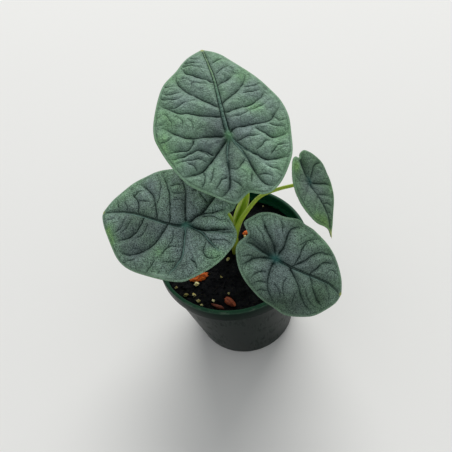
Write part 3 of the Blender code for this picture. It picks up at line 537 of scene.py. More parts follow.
class StalkSettings(bpy.types.PropertyGroup):
    ring_step: length("Ring step", "Distance between the rings of a stalk", 1.2)
    bright: colour("Bright", "Yellow-green of a stalk in the light", 192, 216, 80)
    deep: colour("Deep", "Vivid green of a stalk's channel", 124, 164, 0)
    pale: colour("Pale", "Pale line along a sheath's edge", 226, 234, 176)
    foot: colour("Foot", "Olive brown of a stalk near the mix", 96, 92, 34)
    streaks: factor("Streaks", "Strength of the fine lengthwise streaks", 0.4)


class PotSettings(bpy.types.PropertyGroup):
    wall: colour("Wall", "Dark green moulded plastic", 6, 22, 16)
    collar: colour("Collar", "Green of the collar below the lip", 4, 29, 20)
    edge: colour("Edge", "Paler green of the thin lip", 44, 78, 60)
    # Inside: a greener colour given to the inner wall above the collar's foot
    inside: colour("Inside", "Cleaner green of the inner wall", 9, 66, 45)
    dust: colour("Dust", "Dried water marks and dust", 120, 130, 118)
    roughness: factor("Roughness", "Roughness of clean plastic", 0.34)
    bevel: length("Edge round", "Radius of the rounded edges", 0.35)


class MixSettings(bpy.types.PropertyGroup):
    spacing: length("Mesh spacing", "Distance between the points of the mix", 1.1)
    crumb: length("Crumb size", "Radius of the largest crumbs", 1.0)
    speck: length("Speck size", "Radius of the small crumbs", 0.45)
    seed: bpy.props.IntProperty(name="Seed", description="Seed of the scattered crumbs",
                                default=7, min=0)
    dark: colour("Dark", "Moist peat, nearly black", 6, 8, 13)
    brown: colour("Brown", "Brown flecks of fibre", 40, 30, 26)
    perlite: colour("Perlite", "Cream grains of perlite", 255, 248, 196)
    perlite_shade: colour("Perlite shade", "Yellower side of a perlite grain", 246, 214, 96)
    perlite_stain: colour("Perlite stain", "Olive brown of a stained grain", 120, 108, 44)


class BarkSettings(bpy.types.PropertyGroup):
    orange: colour("Orange", "Fresh face of a bark chip", 226, 104, 22)
    red: colour("Red", "Red-brown bark", 146, 66, 44)
    pit: colour("Pit", "Dark pits and cracks", 52, 20, 14)


class StageSettings(bpy.types.PropertyGroup):
    floor: colour("Floor", "Plain pale floor", 236, 236, 234)
    sky: number("Sky", "Strength of the even light", 0.48)
    key: number("Key light", "Power of the soft key light", 232.0, unit="POWER")
    key_size: number("Key size", "Width of the key light", 4.8, 0.1, unit="LENGTH")
    focal_length: number("Lens", "Focal length", 43.96, 1.0, unit="CAMERA")


def operation(kind, reflected=False):
    """An operator that adds a Math node, with its terms turned round if it is reflected."""
    def add_node(self, other):
        return self.tree.maths(kind, *((other, self) if reflected else (self, other)))
    return add_node


class Term:
    """A socket of a node tree, on which Python's operators add Math nodes."""

    def __init__(self, tree, socket):
        self.tree = tree
        self.socket = socket

    def __neg__(self):
        return self * -1.0

    def __abs__(self):
        return self.tree.maths("ABSOLUTE", self)

    __add__, __radd__ = operation("ADD"), operation("ADD", True)
    __sub__, __rsub__ = operation("SUBTRACT"), operation("SUBTRACT", True)
    __mul__, __rmul__ = operation("MULTIPLY"), operation("MULTIPLY", True)
    __truediv__, __rtruediv__ = operation("DIVIDE"), operation("DIVIDE", True)
    __pow__, __gt__ = operation("POWER"), operation("GREATER_THAN")


class Tree:
    """A shader or geometry node tree whose nodes are made by one method."""

    def __init__(self, tree):
        self.tree = tree

    def node(self, kind, settings=None, inputs=None, output=0):
        """Add a node: its settings first, then the values or links of its sockets."""
        made = self.tree.nodes.new(kind)
        for name, value in (settings or {}).items():
            setattr(made, name, value)
        for name, value in (inputs or {}).items():
            if isinstance(value, Term):
                self.tree.links.new(value.socket, made.inputs[name])
            else:
                made.inputs[name].default_value = value
        return Term(self, made.outputs[output])

    def maths(self, kind, *terms):
        return self.node("ShaderNodeMath", {"operation": kind}, dict(enumerate(terms)))

    def vector(self, kind, *terms, output=0):
        return self.node("ShaderNodeVectorMath", {"operation": kind}, dict(enumerate(terms)),
                         output)

    def times(self, vector, share):
        """A vector or a colour, made longer or lighter by a share."""
        return self.node("ShaderNodeVectorMath", {"operation": "SCALE"},
                         {0: vector, "Scale": share})

    def part(self, vector, axis):
        """The X, Y or Z of a vector."""
        return self.node("ShaderNodeSeparateXYZ", None, {0: vector}, axis)

    def away(self, flat, spot):
        """Distance on the flat blade from a spot."""
        return self.vector("DISTANCE", flat, (*spot, 0.0), output="Value")

    def span(self, across, ahead):
        """Length of a flat step that is given by its two parts."""
        return self.maths("SQRT", across * across + ahead * ahead)

    def mix(self, share, first, second):
        """Blend two colours, where each is a term or three numbers."""
        first, second = (c if isinstance(c, Term) else (*c, 1.0) for c in (first, second))
        return self.node("ShaderNodeMix", {"data_type": "RGBA"},
                         {0: share, 6: first, 7: second}, 2)

    def lower(self, first, *others):
        for other in others:
            first = self.maths("MINIMUM", first, other)
        return first

    def higher(self, first, *others):
        for other in others:
            first = self.maths("MAXIMUM", first, other)
        return first

    def clamped(self, term):
        return self.lower(self.higher(term, 0.0), 1.0)

    def between(self, low, high, share):
        """The value that lies the given share of the way from low to high."""
        return low + (high - low) * share

    def step(self, term, low, high):
        """Rise smoothly from 0 to 1 between two values of a term, or fall if high is less."""
        return self.node("ShaderNodeMapRange", {"interpolation_type": "SMOOTHSTEP"},
                         {"Value": term, "From Min": low, "From Max": high})

    def bell(self, away, width):
        """1 where a distance is nought, falling away over the given width."""
        return self.maths("EXPONENT", -((away / width) ** 2.0))

    def cusp(self, away, width):
        """1 where a distance is nought, falling away from a sharp point."""
        return self.maths("EXPONENT", -(away / width))

    def grain(self, vector, scale, detail=3.0, roughness=0.5):
        """Noise from 0 to 1, with so many lumps to one unit of the vector."""
        return self.node("ShaderNodeTexNoise", None, {
            "Vector": vector, "Scale": scale, "Detail": detail, "Roughness": roughness})

    def cells(self, vector, scale):
        return self.node("ShaderNodeTexVoronoi", None, {"Vector": vector, "Scale": scale})

    def net(self, vector):
        """Distance to the nearest line of an uneven net, in the vector's own unit."""
        warp = self.node("ShaderNodeTexNoise", None,
                         {"Vector": vector, "Scale": NET_CELLS, "Detail": 2.0}, "Color")
        away = self.node("ShaderNodeTexVoronoi", {
            "feature": "DISTANCE_TO_EDGE", "voronoi_dimensions": "2D"},
            {"Vector": self.vector("ADD", vector, self.times(warp, NET_WARP)),
             "Scale": NET_CELLS}, "Distance")
        return away / NET_CELLS


class Finish(Tree):
    """A material's shader tree, with a Principled BSDF at its end."""

    def __init__(self, name):
        self.material = bpy.data.materials.new(name)
        self.material.use_nodes = True
        super().__init__(self.material.node_tree)
        self.shader = self.tree.nodes["Principled BSDF"]

    def attribute(self, name, output="Fac"):
        return self.node("ShaderNodeAttribute", {"attribute_name": name}, output=output)

    def place(self):
        return self.node("ShaderNodeTexCoord", output="Object")

    def stretched(self, vector, x, y, z):
        return self.vector("MULTIPLY", vector, (x, y, z))

    def finish(self, base, roughness, height=None, relief=0.1, **constants):
        """Feed the shader: colour, roughness, and a bump of relief in millimetres."""
        links = {"Base Color": base, "Roughness": roughness}
        if height is not None:
            links["Normal"] = self.node("ShaderNodeBump", None, {
                "Strength": 1.0, "Distance": relief * MM, "Height": height})
        for name, term in links.items():
            if isinstance(term, Term):
                self.tree.links.new(term.socket, self.shader.inputs[name])
            else:
                self.shader.inputs[name].default_value = term
        for name, value in constants.items():
            self.shader.inputs[name.replace("_", " ")].default_value = value
        return self.material


class Rule(Tree):
    """A geometry node tree with named inputs, which a modifier then sets."""

    KINDS = {float: "NodeSocketFloat", int: "NodeSocketInt", bpy.types.Object:
             "NodeSocketObject", bpy.types.Material: "NodeSocketMaterial"}

    def __init__(self, name, values):
        group = bpy.data.node_groups.new(name, "GeometryNodeTree")
        super().__init__(group)
        self.values = values
        for way in ("OUTPUT", "INPUT"):
            group.interface.new_socket("Geometry", in_out=way,
                                       socket_type="NodeSocketGeometry")
        for label, value in values.items():
            kind = next(k for t, k in self.KINDS.items() if isinstance(value, t))
            group.interface.new_socket(label, in_out="INPUT", socket_type=kind)
        self.source = group.nodes.new("NodeGroupInput")

    def __getitem__(self, label):
        return Term(self, self.source.outputs[label])

    def shape_of(self, label):
        """The shape of the object in a named input."""
        return self.node("GeometryNodeObjectInfo", None, {"Object": self[label]}, "Geometry")

    def named(self, name, kind="FLOAT"):
        return self.node("GeometryNodeInputNamedAttribute", {"data_type": kind},
                         {"Name": name})

    def edges(self, shape, term, value):
        """The edges of a shape on which a whole number has the given value."""
        own = self.node("FunctionNodeCompare", {"data_type": "INT", "operation": "EQUAL"},
                        {2: term, 3: value})
        return self.node("GeometryNodeSeparateGeometry", {"domain": "EDGE"},
                         {"Geometry": shape, "Selection": own})

    def away_from(self, edges):
        return self.node("GeometryNodeProximity", {"target_element": "EDGES"},
                         {"Geometry": edges}, "Distance")

    def store(self, shape, name, value, kind="FLOAT", domain="POINT"):
        return self.node("GeometryNodeStoreNamedAttribute",
                         {"data_type": kind, "domain": domain},
                         {"Geometry": shape, "Name": name, "Value": value})

    def moved(self, shape, offset):
        return self.node("GeometryNodeSetPosition", None,
                         {"Geometry": shape, "Offset": offset})

    def lifted(self, shape, height):
        return self.moved(shape, self.node("ShaderNodeCombineXYZ", None, {"Z": height}))

    def joined(self, *shapes):
        whole = self.node("GeometryNodeJoinGeometry", None, {"Geometry": shapes[-1]})
        for shape in reversed(shapes[:-1]):
            self.tree.links.new(shape.socket, whole.socket.node.inputs["Geometry"])
        return whole

    def finish(self, shape, material, *more):
        """End the tree: realise instances and set the materials, each further one where."""
        shape = self.node("GeometryNodeRealizeInstances", None, {"Geometry": shape})
        shape = self.node("GeometryNodeSetMaterial", None,
                          {"Geometry": shape, "Material": material})
        for other, where in more:
            shape = self.node("GeometryNodeSetMaterial", None, {
                "Geometry": shape, "Material": other, "Selection": where})
        sink = self.tree.nodes.new("NodeGroupOutput")
        self.tree.links.new(shape.socket, sink.inputs["Geometry"])

    def apply(self, obj):
        """Run the rule on an object and leave a plain mesh there."""
        modifier = obj.modifiers.new(self.tree.name, "NODES")
        modifier.node_group = self.tree
        for item in self.tree.interface.items_tree:
            if item.in_out == "INPUT" and item.name in self.values:
                modifier[item.identifier] = self.values[item.name]
        settle(obj)


def settle(obj):
    """Replace an object's mesh by what its modifiers make of it."""
    graph = bpy.context.evaluated_depsgraph_get()
    made = bpy.data.meshes.new_from_object(obj.evaluated_get(graph), depsgraph=graph,
                                           preserve_all_data_layers=True)
    made.name = obj.name
    obj.modifiers.clear()
    obj.data = made


def add_object(name, mesh):
    obj = bpy.data.objects.new(name, mesh)
    bpy.context.scene.collection.objects.link(obj)
    return obj


def mesh_of(name, bm):
    """Scale a bmesh from millimetres to metres and make a smooth mesh of it."""
    bmesh.ops.scale(bm, vec=(MM, MM, MM), verts=bm.verts)
    mesh = bpy.data.meshes.new(name)
    bm.to_mesh(mesh)
    bm.free()
    mesh.shade_smooth()
    return mesh


def make_piece(name, bm, finish):
    """A smooth object of one finish from a bmesh in millimetres."""
    piece = add_object(name, mesh_of(name, bm))
    piece.data.materials.append(finish)
    return piece


def hand_over(piece, slot, *nodes):
    """Let a finished piece stand for its plain solids, where it has any."""
    for name in nodes:
        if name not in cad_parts:
            raise RuntimeError("the packed model has no node named " + name)
    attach(piece, "root")
    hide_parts(*nodes)


def smooth_curve(points, step):
    """Points about one step apart along a Catmull-Rom curve through the given points."""
    knots = [Vector(point) for point in points]
    knots = [2 * knots[0] - knots[1]] + knots + [2 * knots[-1] - knots[-2]]
    curve = []
    for a, b, c, d in zip(knots, knots[1:], knots[2:], knots[3:]):
        count = max(1, round((c - b).length / step))
        for k in range(count):
            t = k / count
            curve.append(0.5 * (2 * b + (c - a) * t + (2 * a - 5 * b + 4 * c - d) * t ** 2
                                + (3 * b - a - 3 * c + d) * t ** 3))
    return curve + [knots[-2]]


def flat_sheet(name, loop, spacing, lines=()):
    """A flat mesh of even triangles within a closed loop, with edges along the lines."""
    border = np.array([tuple(p) for p in loop])
    points = list(loop)
    edges = []
    for line in lines:
        edges += [(len(points) + k, len(points) + k + 1) for k in range(len(line) - 1)]
        points += line
    fixed = KDTree(len(points))
    for k, point in enumerate(points):
        fixed.insert(point.to_3d(), k)
    fixed.balance()
    low, high = border.min(axis=0), border.max(axis=0)
    rows = np.arange(low[1], high[1], spacing * math.sqrt(0.75))
    columns = np.arange(low[0], high[0] + spacing, spacing)
    x, y = np.meshgrid(columns, rows)
    x[1::2] -= 0.5 * spacing
    grid = np.column_stack((x.ravel(), y.ravel()))
    crossings = np.zeros(len(grid), int)
    for start, end in zip(border, np.roll(border, -1, axis=0)):
        if start[1] != end[1]:
            spans = (start[1] > grid[:, 1]) != (end[1] > grid[:, 1])
            cross = start[0] + (grid[:, 1] - start[1]) * (end - start)[0] / (end - start)[1]
            crossings += spans & (grid[:, 0] < cross)
    for place in grid[crossings % 2 == 1]:
        if fixed.find((*place, 0.0))[2] > GRID_CLEARANCE * spacing:
            points.append(Vector(place))
    flat, _, faces, *_ = geometry.delaunay_2d_cdt(
        points, edges, [list(range(len(border)))], 1, POINT_MERGE)
    bm = bmesh.new()
    verts = [bm.verts.new((p.x, p.y, 0.0)) for p in flat]
    for face in faces:
        bm.faces.new([verts[k] for k in face])
    bmesh.ops.recalc_face_normals(bm, faces=bm.faces)
    if sum(face.normal.z for face in bm.faces) < 0.0:
        bmesh.ops.reverse_faces(bm, faces=bm.faces)
    mesh = bpy.data.meshes.new(name)
    bm.to_mesh(mesh)
    bm.free()
    mesh.shade_smooth()
    return mesh


def vein_curves(leaf, spacing):
    """Every vein of a leaf: its rank from 0, the midrib, its points, and whether it is pale."""
    ranks = [[leaf["midrib"]], leaf["main"], leaf["side"], leaf["fine"]]
    return [(rank, wavering(smooth_curve(vein, spacing), VEIN_WAVER[rank]),
             rank == 1 and k in leaf["threads"])
            for rank, veins in enumerate(ranks) for k, vein in enumerate(veins)]


def wavering(curve, size):
    """A flat curve with small uneven bends, as a vein has."""
    return [point + size * (noise.noise_vector(point.to_3d() * BENDS) + SMALL_BEND_SHARE
                            * noise.noise_vector(point.to_3d() * SMALL_BENDS)).xy
            for point in curve]


def vein_guide(name, curves):
    """Plain edges along the veins, each with its rank and the strength of its crease.

    A vein fades towards its outer end, and a fine vein fades in at its start as well.
    """
    points, edges = [], []
    values = {"rank": [], "strength": [], "thread": []}
    for rank, curve, pale in curves:
        edges += [(len(points) + k, len(points) + k + 1) for k in range(len(curve) - 1)]
        points += [point.to_3d() for point in curve]
        values["rank"] += [rank] * (len(curve) - 1)
        values["thread"] += [float(pale)] * len(curve)
        for k, point in enumerate(curve):
            share = k / (len(curve) - 1)
            strength = min(1.0, (1.02 - share) / VEIN_FADE[rank]) ** 0.6
            if rank == 3:
                strength *= min(1.0, FINE_VEIN_START + share / FINE_VEIN_RISE)
            strength *= 0.9 + 0.45 * noise.noise(point.to_3d() * BENDS)
            values["strength"].append(min(1.0, strength))
    mesh = bpy.data.meshes.new(name)
    mesh.from_pydata(points, edges, [])
    for key, kind, domain in (("rank", "INT", "EDGE"), ("strength", "FLOAT", "POINT"),
                              ("thread", "FLOAT", "POINT")):
        mesh.attributes.new(key, kind, domain).data.foreach_set("value", values[key])
    return add_object(name, mesh)


def blade_rule(leaf, guide, settings, skin, under):
    """The rule that raises a flat sheet into a quilted blade with a skin on both sides.

    The blade droops to its tip, base and sides from a dished hub, and folds to its notch. It
    puffs up between its veins, waves at its margin, which may curl up in one place, and is
    creased along each vein, with the midrib raised.
    """
    inputs = {"Veins": guide, "Skin": skin, "Under Skin": under}
    for key, labels in LEAF_INPUTS.items():
        inputs.update(zip(labels, leaf[key] if len(labels) > 1 else (leaf[key],)))
    for key in BLADE_SIZES:
        size = getattr(settings, key) / MM * leaf["relief"].get(key, 1.0)
        inputs[key.replace("_", " ").title()] = size
    rule = Rule("Quilted blade", inputs)

    # How far each point lies from the veins of every rank, the margin and the hub
    flat = rule["Geometry"]
    where = rule.node("GeometryNodeInputPosition")
    across, ahead = rule.part(where, "X"), rule.part(where, "Y")
    veins = rule.shape_of("Veins")
    rank, strength, pale = rule.named("rank", "INT"), rule.named("strength"), rule.named("thread")
    ways, strengths, threads = [], [], []
    for k in range(len(VEIN_FADE)):
        own = rule.edges(veins, rank, k)
        ways.append(rule.away_from(own))
        nearest = rule.node("GeometryNodeSampleNearest", None, {"Geometry": own})
        for found, value in ((strengths, strength), (threads, pale)):
            found.append(rule.node("GeometryNodeSampleIndex", None, {
                "Geometry": own, "Value": value, "Index": nearest}))
    to_midrib, to_main, to_side, to_fine = ways
    beside = across - rule.part(Term(rule, to_midrib.socket.node.outputs["Position"]), "X")
    neighbours = rule.node("GeometryNodeInputMeshEdgeNeighbors")
    to_margin = rule.away_from(rule.edges(flat, neighbours, 1))
    from_hub = rule.span(across, ahead)
    out = rule.lower(from_hub / rule["Reach Tip"], 1.0)
    to_net = rule.net(where)

    # The blade's own form
    forward, rightward = ahead > 0.0, across > 0.0
    along = ahead / rule.between(rule["Reach Base"], rule["Reach Tip"], forward)
    aside = across / rule["Half Width"]
    droop = rule.between(rule["Droop Base"], rule["Droop Tip"], forward)
    fall = rule.between(rule["Fall Left"], rule["Fall Right"], rightward)
    form = droop * along * along + fall * aside * aside
    form += rule["Hub Depth"] * (1.0 - rule.bell(from_hub, rule["Reach Tip"] * HUB_REACH))
    notch_x, notch_y = rule["Notch Across"], rule["Notch Ahead"]
    share = rule.clamped((across * notch_x + ahead * notch_y)
                         / (notch_x * notch_x + notch_y * notch_y))
    to_fold = rule.span(across - share * notch_x, ahead - share * notch_y)
    valley = rule.bell(to_fold, rule["Fold Width"]) * (1.0 - rule.bell(from_hub, FOLD_START))
    form = form - rule["Fold Depth"] * valley
    inward = rule.lower(to_margin / MARGIN_ROLL, 1.0)
    to_vein = rule.lower(to_midrib, to_main, to_side)
    form += rule["Puff Height"] * inward * (1.0 - rule.bell(to_vein, rule["Puff Width"]))
    wave = rule.maths("SINE", rule.maths("ARCTAN2", ahead, across) * WAVE_COUNT)
    form += rule["Wave Height"] * (1.0 - inward) * wave

    # Creases along the veins, beside the midrib and in a net, fading at hub and margin
    within = rule.step(to_margin, 0.0, MARGIN_FADE)
    rib_half = rule["Rib Width"] * (1.0 - RIB_TAPER * out)
    to_rib = to_midrib - rib_half
    pale = threads[1] * rule.step(out, rule["Thread End"], 0.4 * rule["Thread End"])
    creases = rule.higher(
        rule["Main Depth"] * (1.0 - 0.4 * out) * rule.higher(
            strengths[1] * (1.0 - PALE_CREASE * pale) * rule.cusp(to_main, rule["Main Width"]),
            strengths[0] * rule.cusp(abs(to_rib), rule["Main Width"])),
        rule["Side Depth"] * strengths[2] * rule.cusp(to_side, rule["Side Width"]),
        rule["Fine Depth"] * strengths[3] * rule.cusp(to_fine, rule["Fine Width"]),
        rule["Net Depth"] * rule.cusp(to_net, rule["Net Width"]))
    creases = creases * (1.0 + rule["Lobe Relief"] * rule.step(ahead, *LOBE_EDGE))
    creases = creases * (1.0 - rule["Calm Side"] * rule.step(across, *CALM_EDGE))
    creases = creases - rule["Thread Height"] * pale * rule.bell(to_main, THREAD_WIDTH)
    creases = creases * within * rule.step(from_hub, *HUB_FADE)

    # The round midrib, small lumps, and the thick margin with its roll
    rib = rule.maths("SQRT", rule.higher(1.0 - (to_midrib / rib_half) ** 2.0, 0.0))
    lumps = rule.grain(where, 0.16, 2.0) + 0.4 * rule.grain(where, 0.6, 1.0) - 0.7
    relief = rule["Lump Height"] * 2.0 * lumps + rule["Rib Height"] * (1.0 - 0.5 * out) * rib
    from_curl = rule.span(across - rule["Curl Across"], ahead - rule["Curl Ahead"])
    curl = rule.bell(from_curl, rule["Curl Spread"]) * rule.bell(to_margin - CURL_INSET,
                                                                 CURL_WIDTH)
    bead = rule["Bead Height"] * rule.bell(to_margin - BEAD_INSET, BEAD_WIDTH)
    bead += rule["Curl Height"] * curl
    top = form + relief * within + bead - creases
    round_off = 1.0 - rule.lower(to_margin / rule["Thickness"], 1.0)
    depth = rule["Thickness"] * rule.maths("SQRT", 1.0 - round_off * round_off)
    bottom = form - depth - creases

    for name, value in {"to_rib": to_rib, "to_main": to_main, "to_side": to_side,
                        "to_fine": to_fine, "to_net": to_net, "to_margin": to_margin,
                        "to_fold": to_fold, "beside": beside, "from_hub": from_hub,
                        "main_strength": strengths[1], "side_strength": strengths[2],
                        "fine_strength": strengths[3], "thread": pale,
                        "curl": curl}.items():
        flat = rule.store(flat, name, value)
    flat = rule.store(flat, "flat", where, "FLOAT_VECTOR")
    upper = rule.lifted(flat, top)
    lower = rule.node("GeometryNodeFlipFaces", None, {"Mesh": rule.lifted(flat, bottom)})
    lower = rule.store(lower, "below", 1.0, domain="FACE")
    shell = rule.node("GeometryNodeMergeByDistance", None,
                      {"Geometry": rule.joined(upper, lower), "Distance": 0.01})
    rule.finish(shell, rule["Skin"], (rule["Under Skin"], rule.named("below") > 0.5))
    return rule


def leaf_frame(leaf):
    """The blade's place: +X to its right, +Y to its tip, +Z out of its upper face."""
    turn = Euler((math.radians(leaf["rise"]), 0.0, 0.0)).to_matrix()
    roll = Euler((0.0, math.radians(leaf["roll"]), 0.0)).to_matrix()
    head = Euler((0.0, 0.0, -math.radians(leaf["heading"]))).to_matrix()
    return Matrix.Translation(Vector(leaf["at"])) @ (head @ turn @ roll).to_4x4()


def leaf_skin(name, leaf, settings):
    """Upper skin: grey-green, greener to the margin, pebbled, dark creases, painted light and
    shade.
    """
    finish = Finish(name)
    flat = finish.attribute("flat", "Vector")
    to_rib, to_main, to_side, to_fine, to_margin, from_hub, pale = (
        finish.attribute(way) for way in ("to_rib", "to_main", "to_side", "to_fine",
                                          "to_margin", "from_hub", "thread"))
    out = from_hub / leaf["reach"][0]
    broad = finish.grain(flat, 0.05, 2.0)
    mottle = finish.grain(flat, 0.35, 4.0, 0.65)
    leather = finish.grain(flat, 0.95, 3.0, 0.62)
    pebble = finish.cells(flat, 1.4)
    pores = finish.grain(flat, 1.5, 0.0)

    # Grey-green to fresh green and lime, in broad patches
    fresh = leaf["freshness"] + 1.6 * (broad - 0.5) + 0.2 * finish.step(to_margin, 10.0, 1.0)
    fresh = fresh - 0.4 * finish.bell(from_hub, 16.0) + 0.35 * (mottle - 0.5)
    for *spot, radius in leaf["green"]:
        fresh = fresh + 0.44 * finish.bell(finish.away(flat, spot), radius)
    base = finish.mix(finish.clamped(fresh), settings.skin, settings.fresh)
    base = finish.mix(0.75 * finish.step(fresh, 0.8, 1.45), base, settings.lime)

    # Light and dark of leather and pores, painted light on lobes, spots of painted light and shade
    grit = 0.65 * (leather - 0.5) + 0.3 * (0.45 - pebble)
    dots = finish.lower(pores - 0.5, 0.05)
    lobe = finish.step(finish.part(flat, "Y"), 4.0, -5.0)
    # Each leaf's shade value sets its skin's brightness, partly painted light and shade
    light = leaf["shade"] * finish.maths("EXPONENT", leaf["grain"] * grit
                                         + leaf["dots"] * dots + 0.25 * (mottle - 0.5))
    # Painted light on the lobes behind the hub
    tone = 1.0 + 0.22 * leaf["lobes"] * lobe
    # Spots of painted light where the change is above 0, of painted shade where below
    for *spot, radius, amount in leaf["tones"]:
        tone = tone * (1.0 + amount * finish.bell(finish.away(flat, spot), radius))
    base = finish.times(base, light * tone)

    # Painted shade by the veins, in the lobes' valleys, at the hub, in the net and along the fold
    calm = 1.0 - leaf["calm"] * finish.step(finish.part(flat, "X"), *CALM_EDGE)
    main, side, fine = (finish.attribute(rank + "_strength") * calm
                        for rank in ("main", "side", "fine"))
    edge = abs(to_rib - 0.2)
    painted_shade = finish.higher(
        main * (1.0 - PALE_CREASE * pale) * finish.cusp(to_main, 1.5),
        finish.cusp(edge, 1.3),
        0.8 * side * finish.cusp(to_side, 1.2),
        0.6 * fine * finish.cusp(to_fine, 1.0))
    valley = lobe * (1.0 - pale) * finish.bell(to_main, 2.2) * finish.step(out, 0.8, 0.3)
    ink = 1.0 - (1.0 - leaf["ink"]) * lobe
    painted_shade = ink * (0.5 * painted_shade + 0.35 * leaf["lobes"] * valley)
    painted_shade = painted_shade + 0.12 * finish.bell(from_hub, 7.0)
    fold = finish.cusp(finish.attribute("to_fold"), 2.8) * finish.step(from_hub, -1.0, 1.5)
    painted_shade = finish.higher(painted_shade, 0.35 * finish.cusp(finish.attribute("to_net"), 0.6),
                         leaf["fold_shade"] * fold)
    # The painted shade darkens the skin towards the crease colour
    base = finish.mix(finish.clamped(painted_shade * finish.step(to_margin, 0.3, 2.0)), base,
                      settings.crease)

    # Dark lines in the creases, partly the veins' own colour and partly painted shade
    line = finish.higher(
        ink * (1.0 - 0.25 * out) * finish.higher(
            main * (1.0 - 0.3 * pale) * finish.bell(to_main - 0.5 * pale, 0.5 - 0.15 * out),
            finish.bell(edge, 0.45 - 0.2 * out)),
        leaf["ink"] * finish.higher(0.9 * side * finish.bell(to_side, 0.4),
                                    0.7 * fine * finish.bell(to_fine, 0.34)))
    line = finish.lower(line, 0.95) * finish.step(to_margin, 0.4, 2.4)
    base = finish.mix(line, base, settings.crease)

    # The midrib, the pale threads and a painted highlight beside the midrib, the hub's spot,
    # the margin with its roll and a line of painted shade inside its bead, and the tip
    on_rib = finish.step(to_rib, 0.05, -0.2)
    base = finish.mix(leaf["pale_rib"] * on_rib * (0.5 + 0.5 * finish.step(out, 0.3, 0.7)), base,
                      finish.mix(finish.step(out, 0.35, 0.9), settings.rib, settings.rib_tip))
    thread = leaf["thread"] * (pale * finish.bell(to_main, 0.32))
    # A painted highlight beside the midrib, on its lit side, in the thread colour
    aside, strength = leaf["rib_line"]
    if strength:
        line = finish.bell(abs(finish.attribute("beside") - aside), 0.36)
        thread = finish.higher(thread, strength * line * finish.step(out, 1.15, 0.5)
                               * (to_main > 0.9))
    base = finish.mix(thread, base, settings.thread)
    spot = finish.vector("LENGTH", finish.stretched(flat, 1.0 / HUB_SPOT, 0.25, 0.0),
                         output="Value")
    base = finish.mix(leaf["spot"] * finish.bell(spot, 0.9), base,
                      finish.mix(leaf["green_hub"], settings.teal, settings.hub))
    base = finish.mix(0.2 * finish.step(to_margin, 2.4, 1.2), base, settings.fresh)
    # Painted shade just inside the margin's bead
    base = finish.mix(0.12 * finish.bell(to_margin - 1.8, 0.5), base, settings.crease)
    base = finish.mix(leaf["rim"] * finish.step(to_margin, 1.0, 0.3), base, settings.margin)
    base = finish.mix(0.75 * finish.attribute("curl"), base, settings.curl)
    end = finish.step(finish.away(flat, leaf["outline"][0]), leaf["yellow"],
                      0.25 * leaf["yellow"])
    base = finish.mix(0.9 * end, base, settings.tip)
    height = 0.7 * leather + 0.6 * (1.0 - pebble) + 0.6 * pores + 0.5 * mottle
    height = height * finish.step(to_margin, 0.8, 2.2)
    return finish.finish(base, 0.52 + 0.16 * mottle, height, 0.75, Specular_IOR_Level=0.18)


def leaf_underside(name, leaf, settings):
    """Underside: paler and smoother, with lighter veins standing out of it."""
    finish = Finish(name)
    flat = finish.attribute("flat", "Vector")
    to_main = finish.lower(abs(finish.attribute("to_rib") + 0.8), finish.attribute("to_main"))
    to_side = finish.lower(finish.attribute("to_side"), finish.attribute("to_fine") + 0.25)
    mottle = finish.grain(flat, 0.3, 4.0, 0.6)
    pores = finish.grain(flat, 1.6, 2.0)
    base = finish.times((*settings.under,), 0.75 + 0.35 * mottle + 0.15 * pores)
    vein = finish.higher(finish.bell(to_main, 1.1), 0.6 * finish.bell(to_side, 0.6))
    base = finish.mix(0.75 * vein, base, settings.under_vein)
    base = finish.mix(finish.step(finish.attribute("to_margin"), 0.9, 0.3), base,
                      settings.margin)
    return finish.finish(base, 0.5 + 0.15 * mottle, pores + mottle, 0.12)


def build_blade(name, leaf, settings):
    """One blade, in place of its plain solid."""
    spacing = settings.spacing / MM * (leaf["reach"][0] / LEAVES["upper"]["reach"][0]) ** 0.5
    loop = smooth_curve(leaf["outline"] + leaf["outline"][:1], spacing)[:-1]
    # Without a seed the small bends of the veins would differ in each run
    noise.seed_set(VEIN_SEED)
    curves = vein_curves(leaf, spacing)
    sheet = flat_sheet("blade_" + name, loop, spacing, [curve for _, curve, _ in curves])
    piece = add_object("blade_" + name, sheet)
    guide = vein_guide("veins_" + name, curves)
    rule = blade_rule(leaf, guide, settings, leaf_skin("leaf_skin_" + name, leaf, settings),
                      leaf_underside("leaf_underside_" + name, leaf, settings))
    rule.apply(piece)
    bpy.data.objects.remove(guide, do_unlink=True)
    place = leaf_frame(leaf)
    place.translation *= MM
    piece.data.transform(place @ Matrix.Scale(MM, 4))
    hand_over(piece, "leaf_blade", "leaf_" + name)


def add_wall(bm, rings):
    """Join each ring of vertices to the next all the way round."""
    for low, high in zip(rings, rings[1:]):
        for k in range(len(low)):
            after = (k + 1) % len(low)
            bm.faces.new((low[k], low[after], high[after], high[k]))


def stalk_skin(settings):
    """Stalks: bright yellow-green with fine lengthwise streaks and an olive foot."""
    finish = Finish("stalk_skin")
    channel = finish.attribute("channel")
    wing = finish.attribute("wing")
    streak = finish.grain(finish.attribute("fibre", "Vector"), 2.4, 4.0, 0.6)
    speck = finish.grain(finish.place(), 900.0, 2.0)
    base = finish.mix(finish.clamped(settings.streaks * (2.6 * streak - 0.9)),
                      settings.bright, settings.deep)
    base = finish.mix(finish.lower(channel * 1.3, 0.8), base, settings.deep)
    base = finish.mix(0.8 * finish.step(wing, 0.35, 0.65), base, settings.pale)
    base = finish.mix(finish.step(speck, 0.62, 0.72) * 0.3, base, settings.pale)
    height = finish.part(finish.place(), "Z") / MM
    base = finish.mix(0.75 * finish.step(height, SOIL_LEVEL + 22.0, SOIL_LEVEL), base,
                      settings.foot)
    return finish.finish(base, 0.38 + 0.14 * speck, streak + 0.3 * speck, 0.12,
                         Specular_IOR_Level=0.3)


